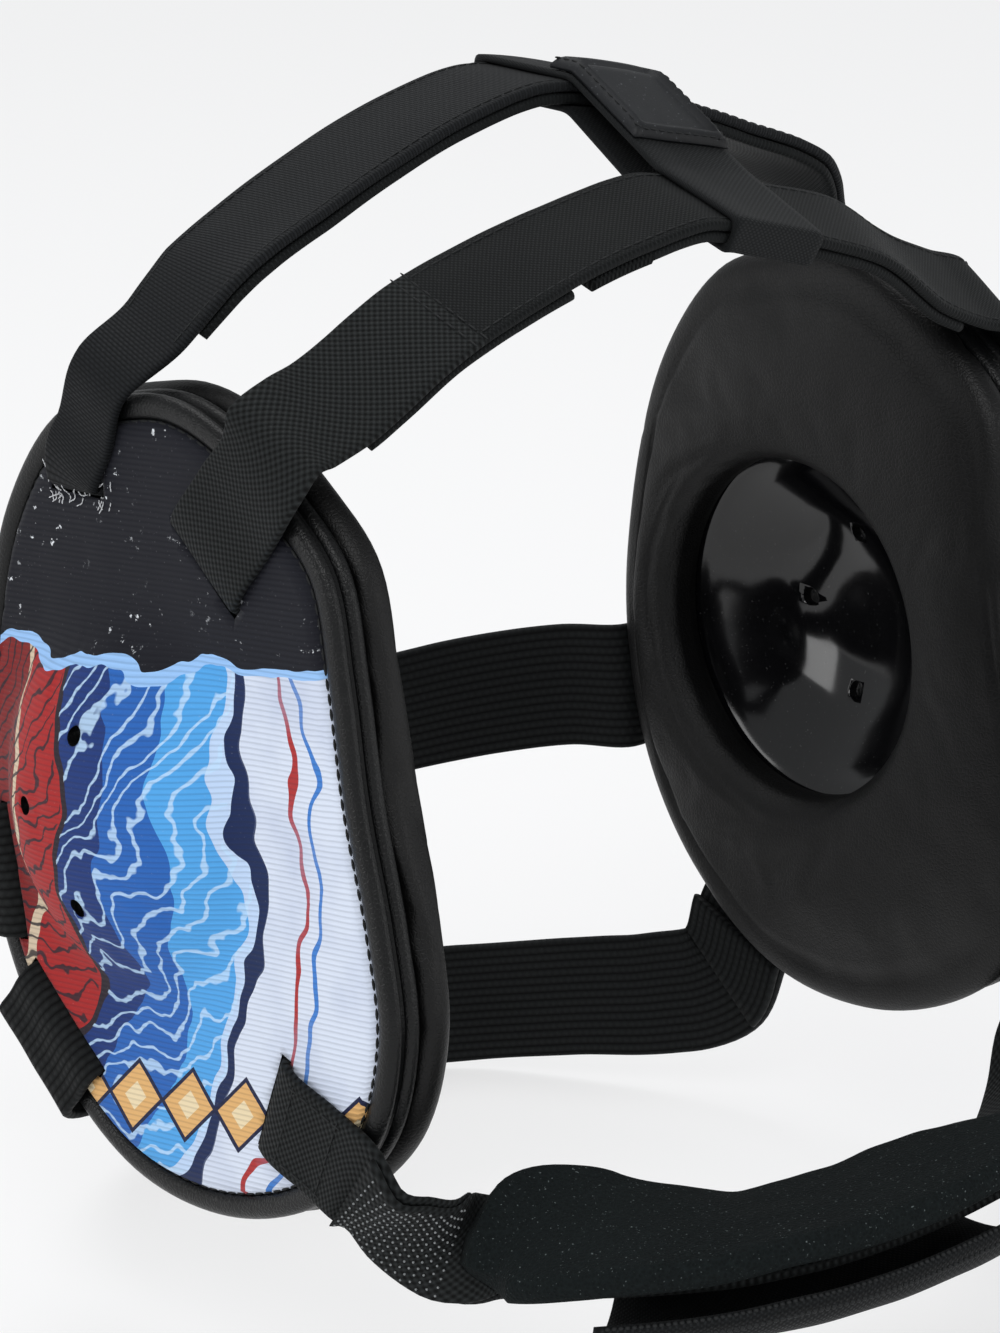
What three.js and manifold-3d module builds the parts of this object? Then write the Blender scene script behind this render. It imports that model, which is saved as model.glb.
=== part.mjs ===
// A wrestling ear guard: two padded ear cups joined by two crown straps under a cross band,
// by two elastics behind the head and by a chin strap with its pad and sleeve.
// Millimetres, +X to the wearer's left, +Y to the back of the head, +Z up.
// The origin is the seat on the crown of the head, under the middle of the rear crown strap.

import * as THREE from "three";
import { mergeVertices } from "three/addons/utils/BufferGeometryUtils.js";
import Module from "manifold-3d";

const { Vector3 } = THREE;
const manifold = await Module();
manifold.setup();

// Fit on the head
const headWidth = 150; // between the faces of the two ear pads
const earDrop = 120; // from the crown seat down to the ear centres
const earForward = 2.5; // the ear centres lie this far in front of the crown seat
const clearance = 0.3; // between neighbouring pieces

// Ear cups
const cupHeight = 154;
const cupWidth = 120;
const padThickness = 8;
const earHoleHeight = 70;
const earHoleWidth = 68;
const pipingThickness = 3.6;
const pipingDepth = 4.6;
const shellThickness = 2;
const coverThickness = 3.6;
const domeRadius = 35;
const domeRise = 15;
const domeSetBack = 3; // centre of the dome and of the ear hole behind the ear centre
const ventDiameter = 3.6;
const ventSpreadUp = 16.5; // from the dome's centre to the upper and lower vent
const ventSpreadBack = 14; // from the dome's centre to the front and rear vent

// Straps
const frontWebbingWidth = 22;
const rearWebbingWidth = 25;
const webbingThickness = 2;
const gatheredWidth = 15; // the rear crown strap, where it is drawn through its slot
const elasticWidth = 26;
const elasticThickness = 2;
const chinWebbingWidth = 20;
const slotBendRadius = 1.6; // middle line of a strap where it turns out of a slot
const strapStep = 8; // longest run of a strap between two of its sections
const crownStrapSpacing = 47; // from the rear crown strap forward to the front one
const frontStrapDrop = 15.5; // the front crown strap crosses the head this much lower
const frontStrapLean = 5; // between the cups it leans this far to the wearer's right
const upperElasticDrop = 30; // below the ear centres, at the back of the head
const upperElasticReach = 88; // behind the ear centres
const lowerElasticDrop = 98;
const lowerElasticReach = 90;
const liningFromRim = 18; // from the rim of a cup to the second layer under a crown strap
const frontLiningGap = 33; // from the middle to the end of the right front lining
const loopPatchFrom = 28; // from the middle to the far end of the fuzzy patch
const loopPatchLength = 14;
const loopPatchThickness = 2.6;

const elasticLapFromRim = 9; // from the rim of the left cup to the folded end
const elasticLapLength = 12;

// Cross band over the crown straps, with its rubber patch
const crossBandWidth = 25;
const crossBandThickness = 1.2;
const crossBandOffset = 18; // to the wearer's left of the middle
const patchWidth = 24;
const patchThickness = 2.2;
const patchLength = 26;
const patchFromRear = 21; // from the rear end of the cross band

// Chin strap, pad and sleeve
const chinReach = 119; // from the ear centres forward to the strap over the chin
const chinDrop = 62; // from the ear centres down to it
const chinPadWidth = 36;
const chinPadThickness = 5.5;
const chinPadPoint = 24; // length of each pointed end
const sleeveWall = 1.6;
const sleeveDepth = 12.4; // from the pad down to the bottom of the trough
const chinPadLength = 114;
const chinPadFromRim = 21; // from the rim of the right cup to the pad's tip
const sleeveFromRight = 28; // from the right tip of the pad to the sleeve
const sleeveFromLeft = 6;
const hookPatchAhead = 22; // part of the patch in front of the pad's tip
const hookPatchOverlap = 12; // part of it under the pad
const hookPatchThickness = 1.6;

// Places across the wall of a cup, out from the face of its pad
const pipingOut = padThickness + clearance;
const coverBack = pipingOut + pipingThickness + clearance;
const coverFace = coverBack + coverThickness;
const shellFace = coverBack - clearance;
const shellBack = shellFace - shellThickness;
const padBack = shellBack - clearance;
const ringSides = 36;

// Outline of a cup from the ear centre: shares of the cup's width and height.
const cupOutline = [
  { back: 0.042, up: 0.506 },
  { back: -0.067, up: 0.519 },
  { back: -0.183, up: 0.5 },
  { back: -0.333, up: 0.435 },
  { back: -0.433, up: 0.364 },
  { back: -0.475, up: 0.24 },
  { back: -0.508, up: 0.097 },
  { back: -0.558, up: -0.045 },
  { back: -0.583, up: -0.175 },
  { back: -0.533, up: -0.312 },
  { back: -0.383, up: -0.422 },
  { back: -0.167, up: -0.481 },
  { back: 0.05, up: -0.468 },
  { back: 0.233, up: -0.377 },
  { back: 0.358, up: -0.24 },
  { back: 0.417, up: -0.052 },
  { back: 0.4, up: 0.13 },
  { back: 0.333, up: 0.325 },
  { back: 0.2, up: 0.461 },
];

// Dome of the shell and cover: shares of the dome's radius and rise.
const domeSections = [
  { reach: 0.34, rise: 0.93 },
  { reach: 0.6, rise: 0.72 },
  { reach: 0.82, rise: 0.38 },
  { reach: 0.97, rise: 0.1 },
  { reach: 1.12, rise: 0 },
];

// Slots in the face of a cup: centre in shares of the cup's width and height, and the ways
// in degrees, from straight back towards up, in which the strap turns out of the slot and in
// which it then leaves the right and the left cup, wrapping round the rim or not.
const slots = {
  frontCrown: { back: -0.167, up: 0.331, turn: 128, leave: [128, 128] },
  rearCrown: { back: 0.138, up: 0.378, turn: 86, leave: [112, 112] },
  upperElastic: { back: 0.318, up: -0.136, turn: -11, leave: [-8, -8], wraps: [true, true] },
  lowerElastic: { back: 0.19, up: -0.3, turn: -50, leave: [-50, -84], wraps: [true, false] },
  chin: { back: -0.312, up: -0.3, turn: 200, leave: [200, 218] },
};

// Free run of each strap: shares of the way from its middle to where it leaves the cup, and
// the way its outer face looks (out to the side, back, up), with its width as a share.
const frontCrownRun = [
  { across: 0.2, back: 0.1, up: 0.09, looks: [0.15, -0.3, 1], wide: 1 },
  { across: 0.38, back: 0.2, up: 0.21, looks: [0.33, -0.36, 0.9], wide: 1 },
  { across: 0.585, back: 0.26, up: 0.39, looks: [0.5, -0.42, 0.8], wide: 1 },
  { across: 0.79, back: 0.62, up: 0.72, looks: [0.75, -0.45, 0.6], wide: 1 },
  { across: 0.93, back: 0.85, up: 0.88, looks: [0.95, -0.3, 0.3], wide: 1 },
];
const rearCrownRun = [
  { across: 0.2, back: 0, up: 0.07, looks: [0.12, 0, 1], wide: 1 },
  { across: 0.38, back: 0, up: 0.19, looks: [0.3, 0, 1], wide: 1 },
  { across: 0.59, back: -0.08, up: 0.36, looks: [0.45, 0, 0.9], wide: 1 },
  { across: 0.79, back: -0.15, up: 0.56, looks: [0.6, 0.05, 0.8], wide: 1 },
  { across: 0.89, back: 0.3, up: 0.79, looks: [0.92, 0.05, 0.4], wide: 0.8 },
];
const upperElasticRun = [
  { across: 0.28, back: 0.03, up: 0.04, looks: [0.15, 1, 0], wide: 1 },
  { across: 0.52, back: 0.13, up: 0.18, looks: [0.4, 1, 0], wide: 1 },
  { across: 0.74, back: 0.34, up: 0.5, looks: [0.7, 0.8, 0], wide: 1 },
  { across: 0.92, back: 0.68, up: 0.85, looks: [0.9, 0.5, 0], wide: 1 },
];

// Straps that hang unevenly, from the right cup to the left one: across in shares of half
// the head's width, back and up in shares of the strap's reach and drop from the ear centres.
const lowerElasticRun = [
  { across: -0.96, back: 0.5, up: -0.57, looks: [-0.7, 0.8, 0], wide: 1 },
  { across: -0.8, back: 0.71, up: -0.66, looks: [-0.6, 0.8, 0], wide: 1 },
  { across: -0.45, back: 0.93, up: -0.8, looks: [-0.4, 1, 0], wide: 1 },
  { across: 0, back: 1.02, up: -0.92, looks: [0, 1, 0], wide: 1 },
  { across: 0.42, back: 1, up: -0.97, looks: [0.3, 1, 0], wide: 1 },
  { across: 0.75, back: 0.92, up: -0.98, looks: [0.55, 0.8, 0], wide: 1 },
  { across: 0.97, back: 0.67, up: -0.94, looks: [0.8, 0.5, 0], wide: 1 },
  { across: 1.11, back: 0.48, up: -0.91, looks: [0.9, 0.35, -0.1], wide: 1 },
  { across: 1.19, back: 0.34, up: -0.85, looks: [1, 0.15, -0.1], wide: 1 },
];
const chinRun = [
  { across: -1.21, back: -0.54, up: -0.93, looks: [-1, 0.1, -0.1], wide: 1 },
  { across: -1.09, back: -0.6, up: -1.06, looks: [-0.95, -0.25, 0.1], wide: 1 },
  { across: -0.949, back: -0.66, up: -1.1, looks: [-0.35, -0.35, 0.8], wide: 1 },
  { across: -0.811, back: -0.81, up: -1.1, looks: [-0.1, -0.1, 1], wide: 1 },
  { across: -0.533, back: -0.941, up: -1.1, looks: [0.03, 0.12, 1], wide: 1 },
  { across: -0.16, back: -1.003, up: -1.055, looks: [0, 0.2, 1], wide: 1 },
  { across: 0.173, back: -1.003, up: -1, looks: [0, 0.22, 1], wide: 1 },
  { across: 0.45, back: -0.87, up: -1.1, looks: [-0.1, 0.1, 1], wide: 1 },
  { across: 0.693, back: -0.7, up: -1.26, looks: [-0.3, 0.1, 1], wide: 1 },
  { across: 1.02, back: -0.54, up: -1.32, looks: [-0.8, 0, 0.6], wide: 1 },
  { across: 1.19, back: -0.47, up: -1.19, looks: [-1, 0, 0.1], wide: 1 },
];

function cupPoint(side, back, up, out) {
  return new Vector3(side * (headWidth / 2 + out), back - earForward, up - earDrop);
}

// A closed solid from rings of as many points each. The rings close on themselves round a
// hole, or end in one middle point at each end, or else in a strip across a bent wall, whose
// rings go along its inner side and back along its outer one. Quads of the second half of a
// ring are split the other way, so that both faces of a twisted layer bend alike.
function solidFromRings(rings, ends) {
  const count = rings[0].length;
  const points = rings.flat();
  const faces = [];
  const last = ends ? rings.length - 1 : rings.length;
  for (let ring = 0; ring < last; ring++) {
    const next = (ring + 1) % rings.length;
    for (let i = 0; i < count; i++) {
      const j = (i + 1) % count;
      const [a, b] = [ring * count + i, ring * count + j];
      const [c, d] = [next * count + j, next * count + i];
      faces.push(...(i < count / 2 ? [a, b, c, a, c, d] : [a, b, d, b, c, d]));
    }
  }
  if (ends === "strips") {
    const end = last * count;
    for (let i = 0; i < count / 2 - 1; i++) {
      const [a, b, c, d] = [i, i + 1, count - 2 - i, count - 1 - i];
      faces.push(a, c, b, a, d, c);
      faces.push(end + a, end + b, end + c, end + a, end + c, end + d);
    }
  } else if (ends) {
    const from = points.length;
    points.push(...ends);
    for (let i = 0; i < count; i++) {
      const j = (i + 1) % count;
      faces.push(from, j, i);
      faces.push(from + 1, last * count + i, last * count + j);
    }
  }
  const outward = signedVolume(points, faces) > 0;
  const corners = [];
  for (let i = 0; i < faces.length; i += 3) {
    const [a, b, c] = faces.slice(i, i + 3).map((corner) => points[corner]);
    corners.push(...(outward ? [a, b, c] : [a, c, b]));
  }
  return new THREE.BufferGeometry().setFromPoints(corners);
}

function signedVolume(points, faces) {
  let volume = 0;
  for (let i = 0; i < faces.length; i += 3) {
    const [a, b, c] = faces.slice(i, i + 3).map((corner) => points[corner]);
    volume += a.dot(b.clone().cross(c)) / 6;
  }
  return volume;
}

function middleOf(ring) {
  const sum = new Vector3();
  ring.forEach((point) => sum.add(point));
  return sum.divideScalar(ring.length);
}

function toManifold(geometry) {
  const bare = geometry.index ? geometry.toNonIndexed() : geometry.clone();
  bare.deleteAttribute("normal");
  bare.deleteAttribute("uv");
  const merged = mergeVertices(bare);
  return new manifold.Manifold(
    new manifold.Mesh({
      numProp: 3,
      vertProperties: merged.attributes.position.array,
      triVerts: new Uint32Array(merged.index.array),
    }),
  );
}

function cut(geometry, tools) {
  let solid = toManifold(geometry);
  for (const tool of tools) {
    solid = solid.subtract(toManifold(tool));
  }
  const mesh = solid.getMesh();
  const result = new THREE.BufferGeometry();
  result.setAttribute("position", new THREE.BufferAttribute(mesh.vertProperties, 3));
  result.setIndex(new THREE.BufferAttribute(mesh.triVerts, 1));
  return result;
}

// Rings round a cup, in its own frame: x out, y back, z up.
const outline = new THREE.CatmullRomCurve3(
  cupOutline.map(({ back, up }) => new Vector3(0, back * cupWidth, up * cupHeight)),
  true,
).getSpacedPoints(ringSides);
outline.pop();

const inwards = outline.map((point, i) => {
  const before = outline[(i + ringSides - 1) % ringSides];
  const after = outline[(i + 1) % ringSides];
  const along = after.clone().sub(before).normalize();
  return new Vector3(0, -along.z, along.y);
});

function rimRing(inset, out) {
  return outline.map((point, i) => {
    const moved = point.clone().addScaledVector(inwards[i], inset);
    return moved.setX(out);
  });
}

function ovalRing(halfWidth, halfHeight, out) {
  return outline.map(({ y, z }) => {
    const angle = Math.atan2(z / halfHeight, (y - domeSetBack) / halfWidth);
    const back = domeSetBack + halfWidth * Math.cos(angle);
    return new Vector3(out, back, halfHeight * Math.sin(angle));
  });
}

function blendRings(from, to, share) {
  return from.map((point, i) => point.clone().lerp(to[i], share));
}

// Surface rings of the dome and the flat round it, lying at this height over the flat.
function domeRings(flat) {
  return domeSections.map(({ reach, rise }) => {
    const radius = reach * domeRadius;
    return ovalRing(radius, radius, flat + rise * domeRise);
  });
}

function padGeometry() {
  const [halfWidth, halfHeight] = [earHoleWidth / 2, earHoleHeight / 2];
  const thick = padThickness;
  const ledge = pipingDepth + 3 * clearance;
  const hole = (grow, out) => ovalRing(halfWidth + grow, halfHeight + grow, out);
  return solidFromRings([
    rimRing(0.45 * thick, 0),
    rimRing(0.13 * thick, 0.13 * thick),
    rimRing(0, 0.5 * thick),
    rimRing(0.13 * thick, 0.87 * thick),
    rimRing(0.4 * thick, thick),
    rimRing(ledge, thick),
    rimRing(ledge, padBack),
    hole(0, padBack),
    hole(0, 0.45 * thick),
    hole(0.15 * thick, 0.12 * thick),
    hole(0.5 * thick, 0),
  ]);
}

function pipingGeometry() {
  const rings = [];
  const sides = 6;
  for (let i = 0; i < sides; i++) {
    const angle = (2 * Math.PI * (i + 0.5)) / sides;
    const inset = clearance + (pipingDepth / 2) * (1 + Math.cos(angle));
    const out = pipingOut + (pipingThickness / 2) * (1 + Math.sin(angle));
    rings.push(rimRing(inset, out));
  }
  return solidFromRings(rings);
}

function shellGeometry() {
  const edge = pipingDepth + 3 * clearance;
  const top = domeRings(shellFace);
  const bottom = domeRings(shellBack).reverse();
  const rings = [...top, rimRing(edge, shellFace), rimRing(edge, shellBack), ...bottom];
  const peaks = [shellFace, shellBack].map((flat) => new Vector3(flat + domeRise, domeSetBack, 0));
  return cut(solidFromRings(rings, peaks), [...slotTools(), ...ventTools()]);
}

function coverGeometry() {
  const thick = coverThickness;
  const top = domeRings(coverFace);
  const bottom = domeRings(coverBack).reverse();
  const rings = [
    ...top,
    blendRings(top.at(-1), rimRing(0.9 * thick, coverFace), 0.6),
    rimRing(0.9 * thick, coverFace),
    rimRing(0.2 * thick, coverFace - 0.3 * thick),
    rimRing(0.1 * thick, coverBack + 0.3 * thick),
    rimRing(0.3 * thick, coverBack),
    ...bottom,
  ];
  const peaks = [coverFace, coverBack].map((flat) => new Vector3(flat + domeRise, domeSetBack, 0));
  return cut(solidFromRings(rings, peaks), [...slotTools(), ...ventTools()]);
}

// Prisms that cut the four strap slots and the four vents through a cup's shell and cover.
function slotTools() {
  const cuts = [
    { slot: slots.frontCrown, width: frontWebbingWidth, thickness: webbingThickness },
    { slot: slots.rearCrown, width: gatheredWidth, thickness: webbingThickness },
    { slot: slots.upperElastic, width: elasticWidth, thickness: elasticThickness },
    { slot: slots.lowerElastic, width: elasticWidth, thickness: elasticThickness },
    { slot: slots.chin, width: chinWebbingWidth, thickness: webbingThickness },
  ];
  const depth = 3 * (coverFace - shellBack);
  return cuts.map(({ slot, width, thickness }) => {
    const { back, up, turn } = slot;
    const prism = new THREE.BoxGeometry(depth, thickness + 2 * clearance, width + 2 * clearance);
    prism.rotateX(THREE.MathUtils.degToRad(turn));
    return prism.translate((shellBack + coverFace) / 2, back * cupWidth, up * cupHeight);
  });
}

function ventTools() {
  const depth = 2 * domeRise + coverFace;
  const vents = [
    { back: 0, up: ventSpreadUp },
    { back: 0, up: -ventSpreadUp },
    { back: ventSpreadBack, up: 0 },
    { back: -ventSpreadBack, up: 0 },
  ];
  return vents.map(({ back, up }) => {
    const drill = new THREE.CylinderGeometry(ventDiameter / 2, ventDiameter / 2, depth, 8);
    return drill.rotateZ(Math.PI / 2).translate(coverFace + domeRise, domeSetBack + back, up);
  });
}

// The part of a strap that lies on a cup, from inside its slot to just past the rim. One that
// wraps goes on round the rim to the side of the pad.
function slotRows(side, { back, up, turn, leave, wraps }, { thickness, wide, turnsOver }) {
  const lie = coverFace + clearance + thickness / 2;
  const bend = slotBendRadius;
  const half = Math.SQRT1_2 * bend;
  const turning = wayOf(turn);
  const cupSide = side < 0 ? 0 : 1;
  const leaving = wayOf(leave[cupSide]);
  const wrapped = wraps?.[cupSide];
  const from = new Vector3(0, back * cupWidth, up * cupHeight);
  const bent = from.clone().addScaledVector(turning, bend);
  const toRim = distanceToRim(bent, leaving) + 2 * thickness;
  const face = turnsOver && side > 0 ? -1 : 1;
  const row = (start, way, distance, out, tilt) => {
    const place = start.clone().addScaledVector(way, distance);
    const looks = way.clone().multiplyScalar(-Math.cos(tilt)).setX(side * Math.sin(tilt));
    const at = cupPoint(side, place.y, place.z, out);
    return { at, looks: looks.multiplyScalar(face), wide, steps: 1 };
  };
  const quarter = Math.PI / 4;
  const rows = [
    row(from, turning, 0, shellBack + clearance, 0),
    row(from, turning, 0, lie - bend, 0),
    row(from, turning, bend - half, lie - bend + half, quarter),
    row(from, turning, bend, lie, 2 * quarter),
    row(bent, leaving, 0.5 * toRim, lie, 2 * quarter),
    row(bent, leaving, toRim - (wrapped ? thickness : 0), lie, 2 * quarter),
  ];
  if (wrapped) {
    rows.push(row(bent, leaving, toRim, lie - 1.5 * thickness, 3.5 * quarter));
    rows.push(row(bent, leaving, toRim, padThickness / 2, 4 * quarter));
  }
  return rows;
}

function wayOf(degrees) {
  const angle = THREE.MathUtils.degToRad(degrees);
  return new Vector3(0, Math.cos(angle), Math.sin(angle));
}

// How far the outline lies from a place on a cup's face, going this way.
function distanceToRim(from, way) {
  const cross = (a, b) => a.y * b.z - a.z * b.y;
  const reaches = outline.map((point, i) => {
    const edge = outline[(i + 1) % ringSides].clone().sub(point);
    const toPoint = point.clone().sub(from);
    const share = cross(toPoint, way) / cross(way, edge);
    const ahead = cross(toPoint, edge) / cross(way, edge);
    return share >= 0 && share <= 1 ? ahead : 0;
  });
  return Math.max(...reaches);
}

// Rows of a strap that is alike on both sides, from the right cup over its middle to the left.
function evenRows(slot, middle, run, strap, lean = 0) {
  const half = (side) => {
    const held = slotRows(side, slot, strap);
    const leave = held.at(-1).at;
    const free = run.map(({ across, back, up, looks, wide }) => ({
      at: new Vector3(
        leave.x * across - lean,
        THREE.MathUtils.lerp(middle.at.y, leave.y, back),
        THREE.MathUtils.lerp(middle.at.z, leave.z, up),
      ),
      looks: new Vector3(side * looks[0], looks[1], looks[2]),
      wide,
    }));
    return [...held, ...free.reverse()];
  };
  return [...half(-1), middle, ...half(1).reverse()];
}

// Rows of a strap with its own run on each side, from the right cup to the left one.
function unevenRows(slot, { reach, drop }, run, strap) {
  const free = run.map(({ across, back, up, looks, wide }) => ({
    at: new Vector3((across * headWidth) / 2, back * reach - earForward, up * drop - earDrop),
    looks: new Vector3(...looks),
    wide,
  }));
  return [...slotRows(-1, slot, strap), ...free, ...slotRows(1, slot, strap).reverse()];
}

// A strap's sections along its middle line, each with its place, direction, face and width.
function strapPath(rows) {
  const line = new THREE.CatmullRomCurve3(rows.map(({ at }) => at), false, "centripetal");
  const sections = [];
  for (let i = 0; i < rows.length - 1; i++) {
    const [row, next] = [rows[i], rows[i + 1]];
    const reach = row.at.distanceTo(next.at);
    const bent = row.steps === 1 || next.steps === 1;
    const steps = bent ? 1 : Math.ceil(reach / strapStep);
    for (let step = 0; step < steps; step++) {
      sections.push(sectionAt(line, rows, i, step / steps));
    }
  }
  sections.push(sectionAt(line, rows, rows.length - 2, 1));
  let distance = 0;
  sections.forEach((section, i) => {
    distance += i ? section.at.distanceTo(sections[i - 1].at) : 0;
    section.distance = distance;
  });
  return sections;
}

function sectionAt(line, rows, i, share) {
  const place = (i + share) / (rows.length - 1);
  const [row, next] = [rows[i], rows[i + 1]];
  return {
    at: line.getPoint(place),
    along: line.getTangent(place),
    looks: row.looks.clone().normalize().lerp(next.looks.clone().normalize(), share),
    wide: THREE.MathUtils.lerp(row.wide, next.wide, share),
  };
}

// The section of a path this far along it.
function pathPlace(path, distance) {
  const after = path.findIndex((section) => section.distance > distance);
  if (after < 0) {
    return path.at(-1);
  }
  const [before, next] = [path[Math.max(after - 1, 0)], path[after]];
  const share = (distance - before.distance) / (next.distance - before.distance || 1);
  return {
    at: before.at.clone().lerp(next.at, share),
    along: before.along.clone().lerp(next.along, share),
    looks: before.looks.clone().lerp(next.looks, share),
    wide: THREE.MathUtils.lerp(before.wide, next.wide, share),
    distance,
  };
}

// Axes of a section: along the strap, across its width and out of its face.
function axesOf({ along, looks }) {
  const across = looks.clone().cross(along).normalize();
  return { across, out: along.clone().cross(across).normalize() };
}

// A point of a section, this far across the strap and out from its middle line.
function sectionPoint(section, across, out) {
  const axes = axesOf(section);
  return section.at
    .clone()
    .addScaledVector(axes.across, across)
    .addScaledVector(axes.out, out);
}

// A path with more sections of its own, so that the layers on a strap can end at them.
function withSections(path, distances) {
  const added = distances.map((distance) => pathPlace(path, distance));
  const kept = path.filter(({ distance }) =>
    distances.every((other) => Math.abs(distance - other) > 2 || distance === 0),
  );
  const sorted = [...kept, ...added].sort((a, b) => a.distance - b.distance);
  return sorted.filter(({ distance }, i) => i === 0 || distance - sorted[i - 1].distance > 0.5);
}

function pathSlice(path, from, to) {
  const inside = path.filter(({ distance }) => distance > from + 0.1 && distance < to - 0.1);
  return [pathPlace(path, from), ...inside, pathPlace(path, to)];
}

// A flat layer over a run of sections: its width, and where its thickness starts and ends.
function layerGeometry(sections, width, inner, outer) {
  const rings = sections.map((section) => {
    const half = (section.wide * width) / 2;
    return [
      sectionPoint(section, -half, inner),
      sectionPoint(section, half, inner),
      sectionPoint(section, half, outer),
      sectionPoint(section, -half, outer),
    ];
  });
  return solidFromRings(rings, [middleOf(rings[0]), middleOf(rings.at(-1))]);
}

// Paths of the straps
const crownStack = 1.5 * webbingThickness + clearance;
const crownWebbing = { thickness: webbingThickness, wide: 1 };
const bareRearPath = strapPath(
  evenRows(
    slots.rearCrown,
    { at: new Vector3(0, 0, crownStack), looks: new Vector3(0, 0, 1), wide: 1 },
    rearCrownRun,
    { thickness: webbingThickness, wide: gatheredWidth / rearWebbingWidth },
  ),
);
const bareFrontPath = strapPath(
  evenRows(
    slots.frontCrown,
    {
      at: new Vector3(0, -crownStrapSpacing, crownStack - frontStrapDrop),
      looks: new Vector3(0, -0.28, 1),
      wide: 1,
    },
    frontCrownRun,
    crownWebbing,
    frontStrapLean,
  ),
);
const elastic = { thickness: elasticThickness, wide: 1 };
const upperElasticPath = strapPath(
  evenRows(
    slots.upperElastic,
    {
      at: new Vector3(0, upperElasticReach - earForward, -upperElasticDrop - earDrop),
      looks: new Vector3(0, 1, 0),
      wide: 1,
    },
    upperElasticRun,
    elastic,
  ),
);
const bareLowerPath = strapPath(
  unevenRows(
    slots.lowerElastic,
    { reach: lowerElasticReach, drop: lowerElasticDrop },
    lowerElasticRun,
    elastic,
  ),
);
const bareChinPath = strapPath(
  unevenRows(slots.chin, { reach: chinReach, drop: chinDrop }, chinRun, {
    thickness: webbingThickness,
    wide: 1,
    turnsOver: true,
  }),
);

const webbingTop = webbingThickness / 2;
const elasticFace = elasticThickness / 2;
const layerBelow = -webbingTop - clearance;
const wholeOf = (path) => pathSlice(path, 0, path.at(-1).distance);

// The distance along a path at which it has just passed the rim of the right cup.
const rimRows = 6;
const rimOf = (path) => path[rimRows - 1].distance;
const halfOf = (path) => path.at(-1).distance / 2;
const toLining = (path) => halfOf(path) - rimOf(path) - liningFromRim;

// Places along each strap, from its middle, at which layers and the cross band lie on it.
const bandOffsets = [-0.5, -0.25, 0, 0.25, 0.5].map((share) => share * crossBandWidth);
const bandPlaces = bandOffsets.map((offset) => crossBandOffset + offset);
const frontEnds = {
  rightLining: [-toLining(bareFrontPath), -frontLiningGap],
  loopPatch: [-loopPatchFrom, loopPatchLength - loopPatchFrom],
  leftLining: [loopPatchLength - loopPatchFrom + 2 * clearance, toLining(bareFrontPath)],
};
const rearEnds = [-toLining(bareRearPath), toLining(bareRearPath)];
const fromMiddle = (path, places) =>
  withSections(path, places.map((place) => halfOf(path) + place));
const frontCrownPath = fromMiddle(bareFrontPath, [...Object.values(frontEnds).flat(), ...bandPlaces]);
const rearCrownPath = fromMiddle(bareRearPath, [...rearEnds, ...bandPlaces]);

// Places along the chin strap and the lower elastic, from their right end.
const chinPadFrom = rimOf(bareChinPath) + chinPadFromRim;
const chinPadTo = chinPadFrom + chinPadLength;
const hookPatchEnds = [chinPadFrom - hookPatchAhead, chinPadFrom + hookPatchOverlap];
const sleeveEnds = [chinPadFrom + sleeveFromRight, chinPadTo - sleeveFromLeft];
const chinPath = withSections(bareChinPath, [
  chinPadFrom,
  chinPadFrom + chinPadPoint,
  chinPadTo - chinPadPoint,
  chinPadTo,
  ...hookPatchEnds,
  ...sleeveEnds,
]);
const lapTo = bareLowerPath.at(-rimRows).distance - elasticLapFromRim;
const lapEnds = [lapTo - elasticLapLength, lapTo];
const lowerElasticPath = withSections(bareLowerPath, lapEnds);

// A second layer under a crown strap, between two places from the strap's middle.
function liningGeometry(path, width, [from, to], thickness) {
  const run = pathSlice(path, halfOf(path) + from, halfOf(path) + to);
  return layerGeometry(run, width, layerBelow - thickness, layerBelow);
}

// The cross band: a loop round both crown straps. One ring round the straps at this place.
function crossBandRing(place, grow) {
  const [rear, front] = [rearCrownPath, frontCrownPath].map((path) =>
    pathPlace(path, halfOf(path) + place),
  );
  const [top, bottom] = [webbingTop + grow, layerBelow - webbingThickness - grow];
  const [rearHalf, frontHalf] = [rearWebbingWidth / 2, frontWebbingWidth / 2];
  return [
    sectionPoint(rear, rearHalf + grow, bottom),
    sectionPoint(rear, rearHalf + grow, top),
    sectionPoint(rear, -rearHalf, top),
    sectionPoint(front, frontHalf, top),
    sectionPoint(front, -frontHalf - grow, top),
    sectionPoint(front, -frontHalf - grow, bottom),
    sectionPoint(front, frontHalf, bottom),
    sectionPoint(rear, -rearHalf, bottom),
  ];
}

function crossBandGeometry() {
  const grown = clearance + crossBandThickness;
  return solidFromRings([
    ...bandPlaces.map((place) => crossBandRing(place, grown)),
    ...bandPlaces.map((place) => crossBandRing(place, clearance)).reverse(),
  ]);
}

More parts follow.
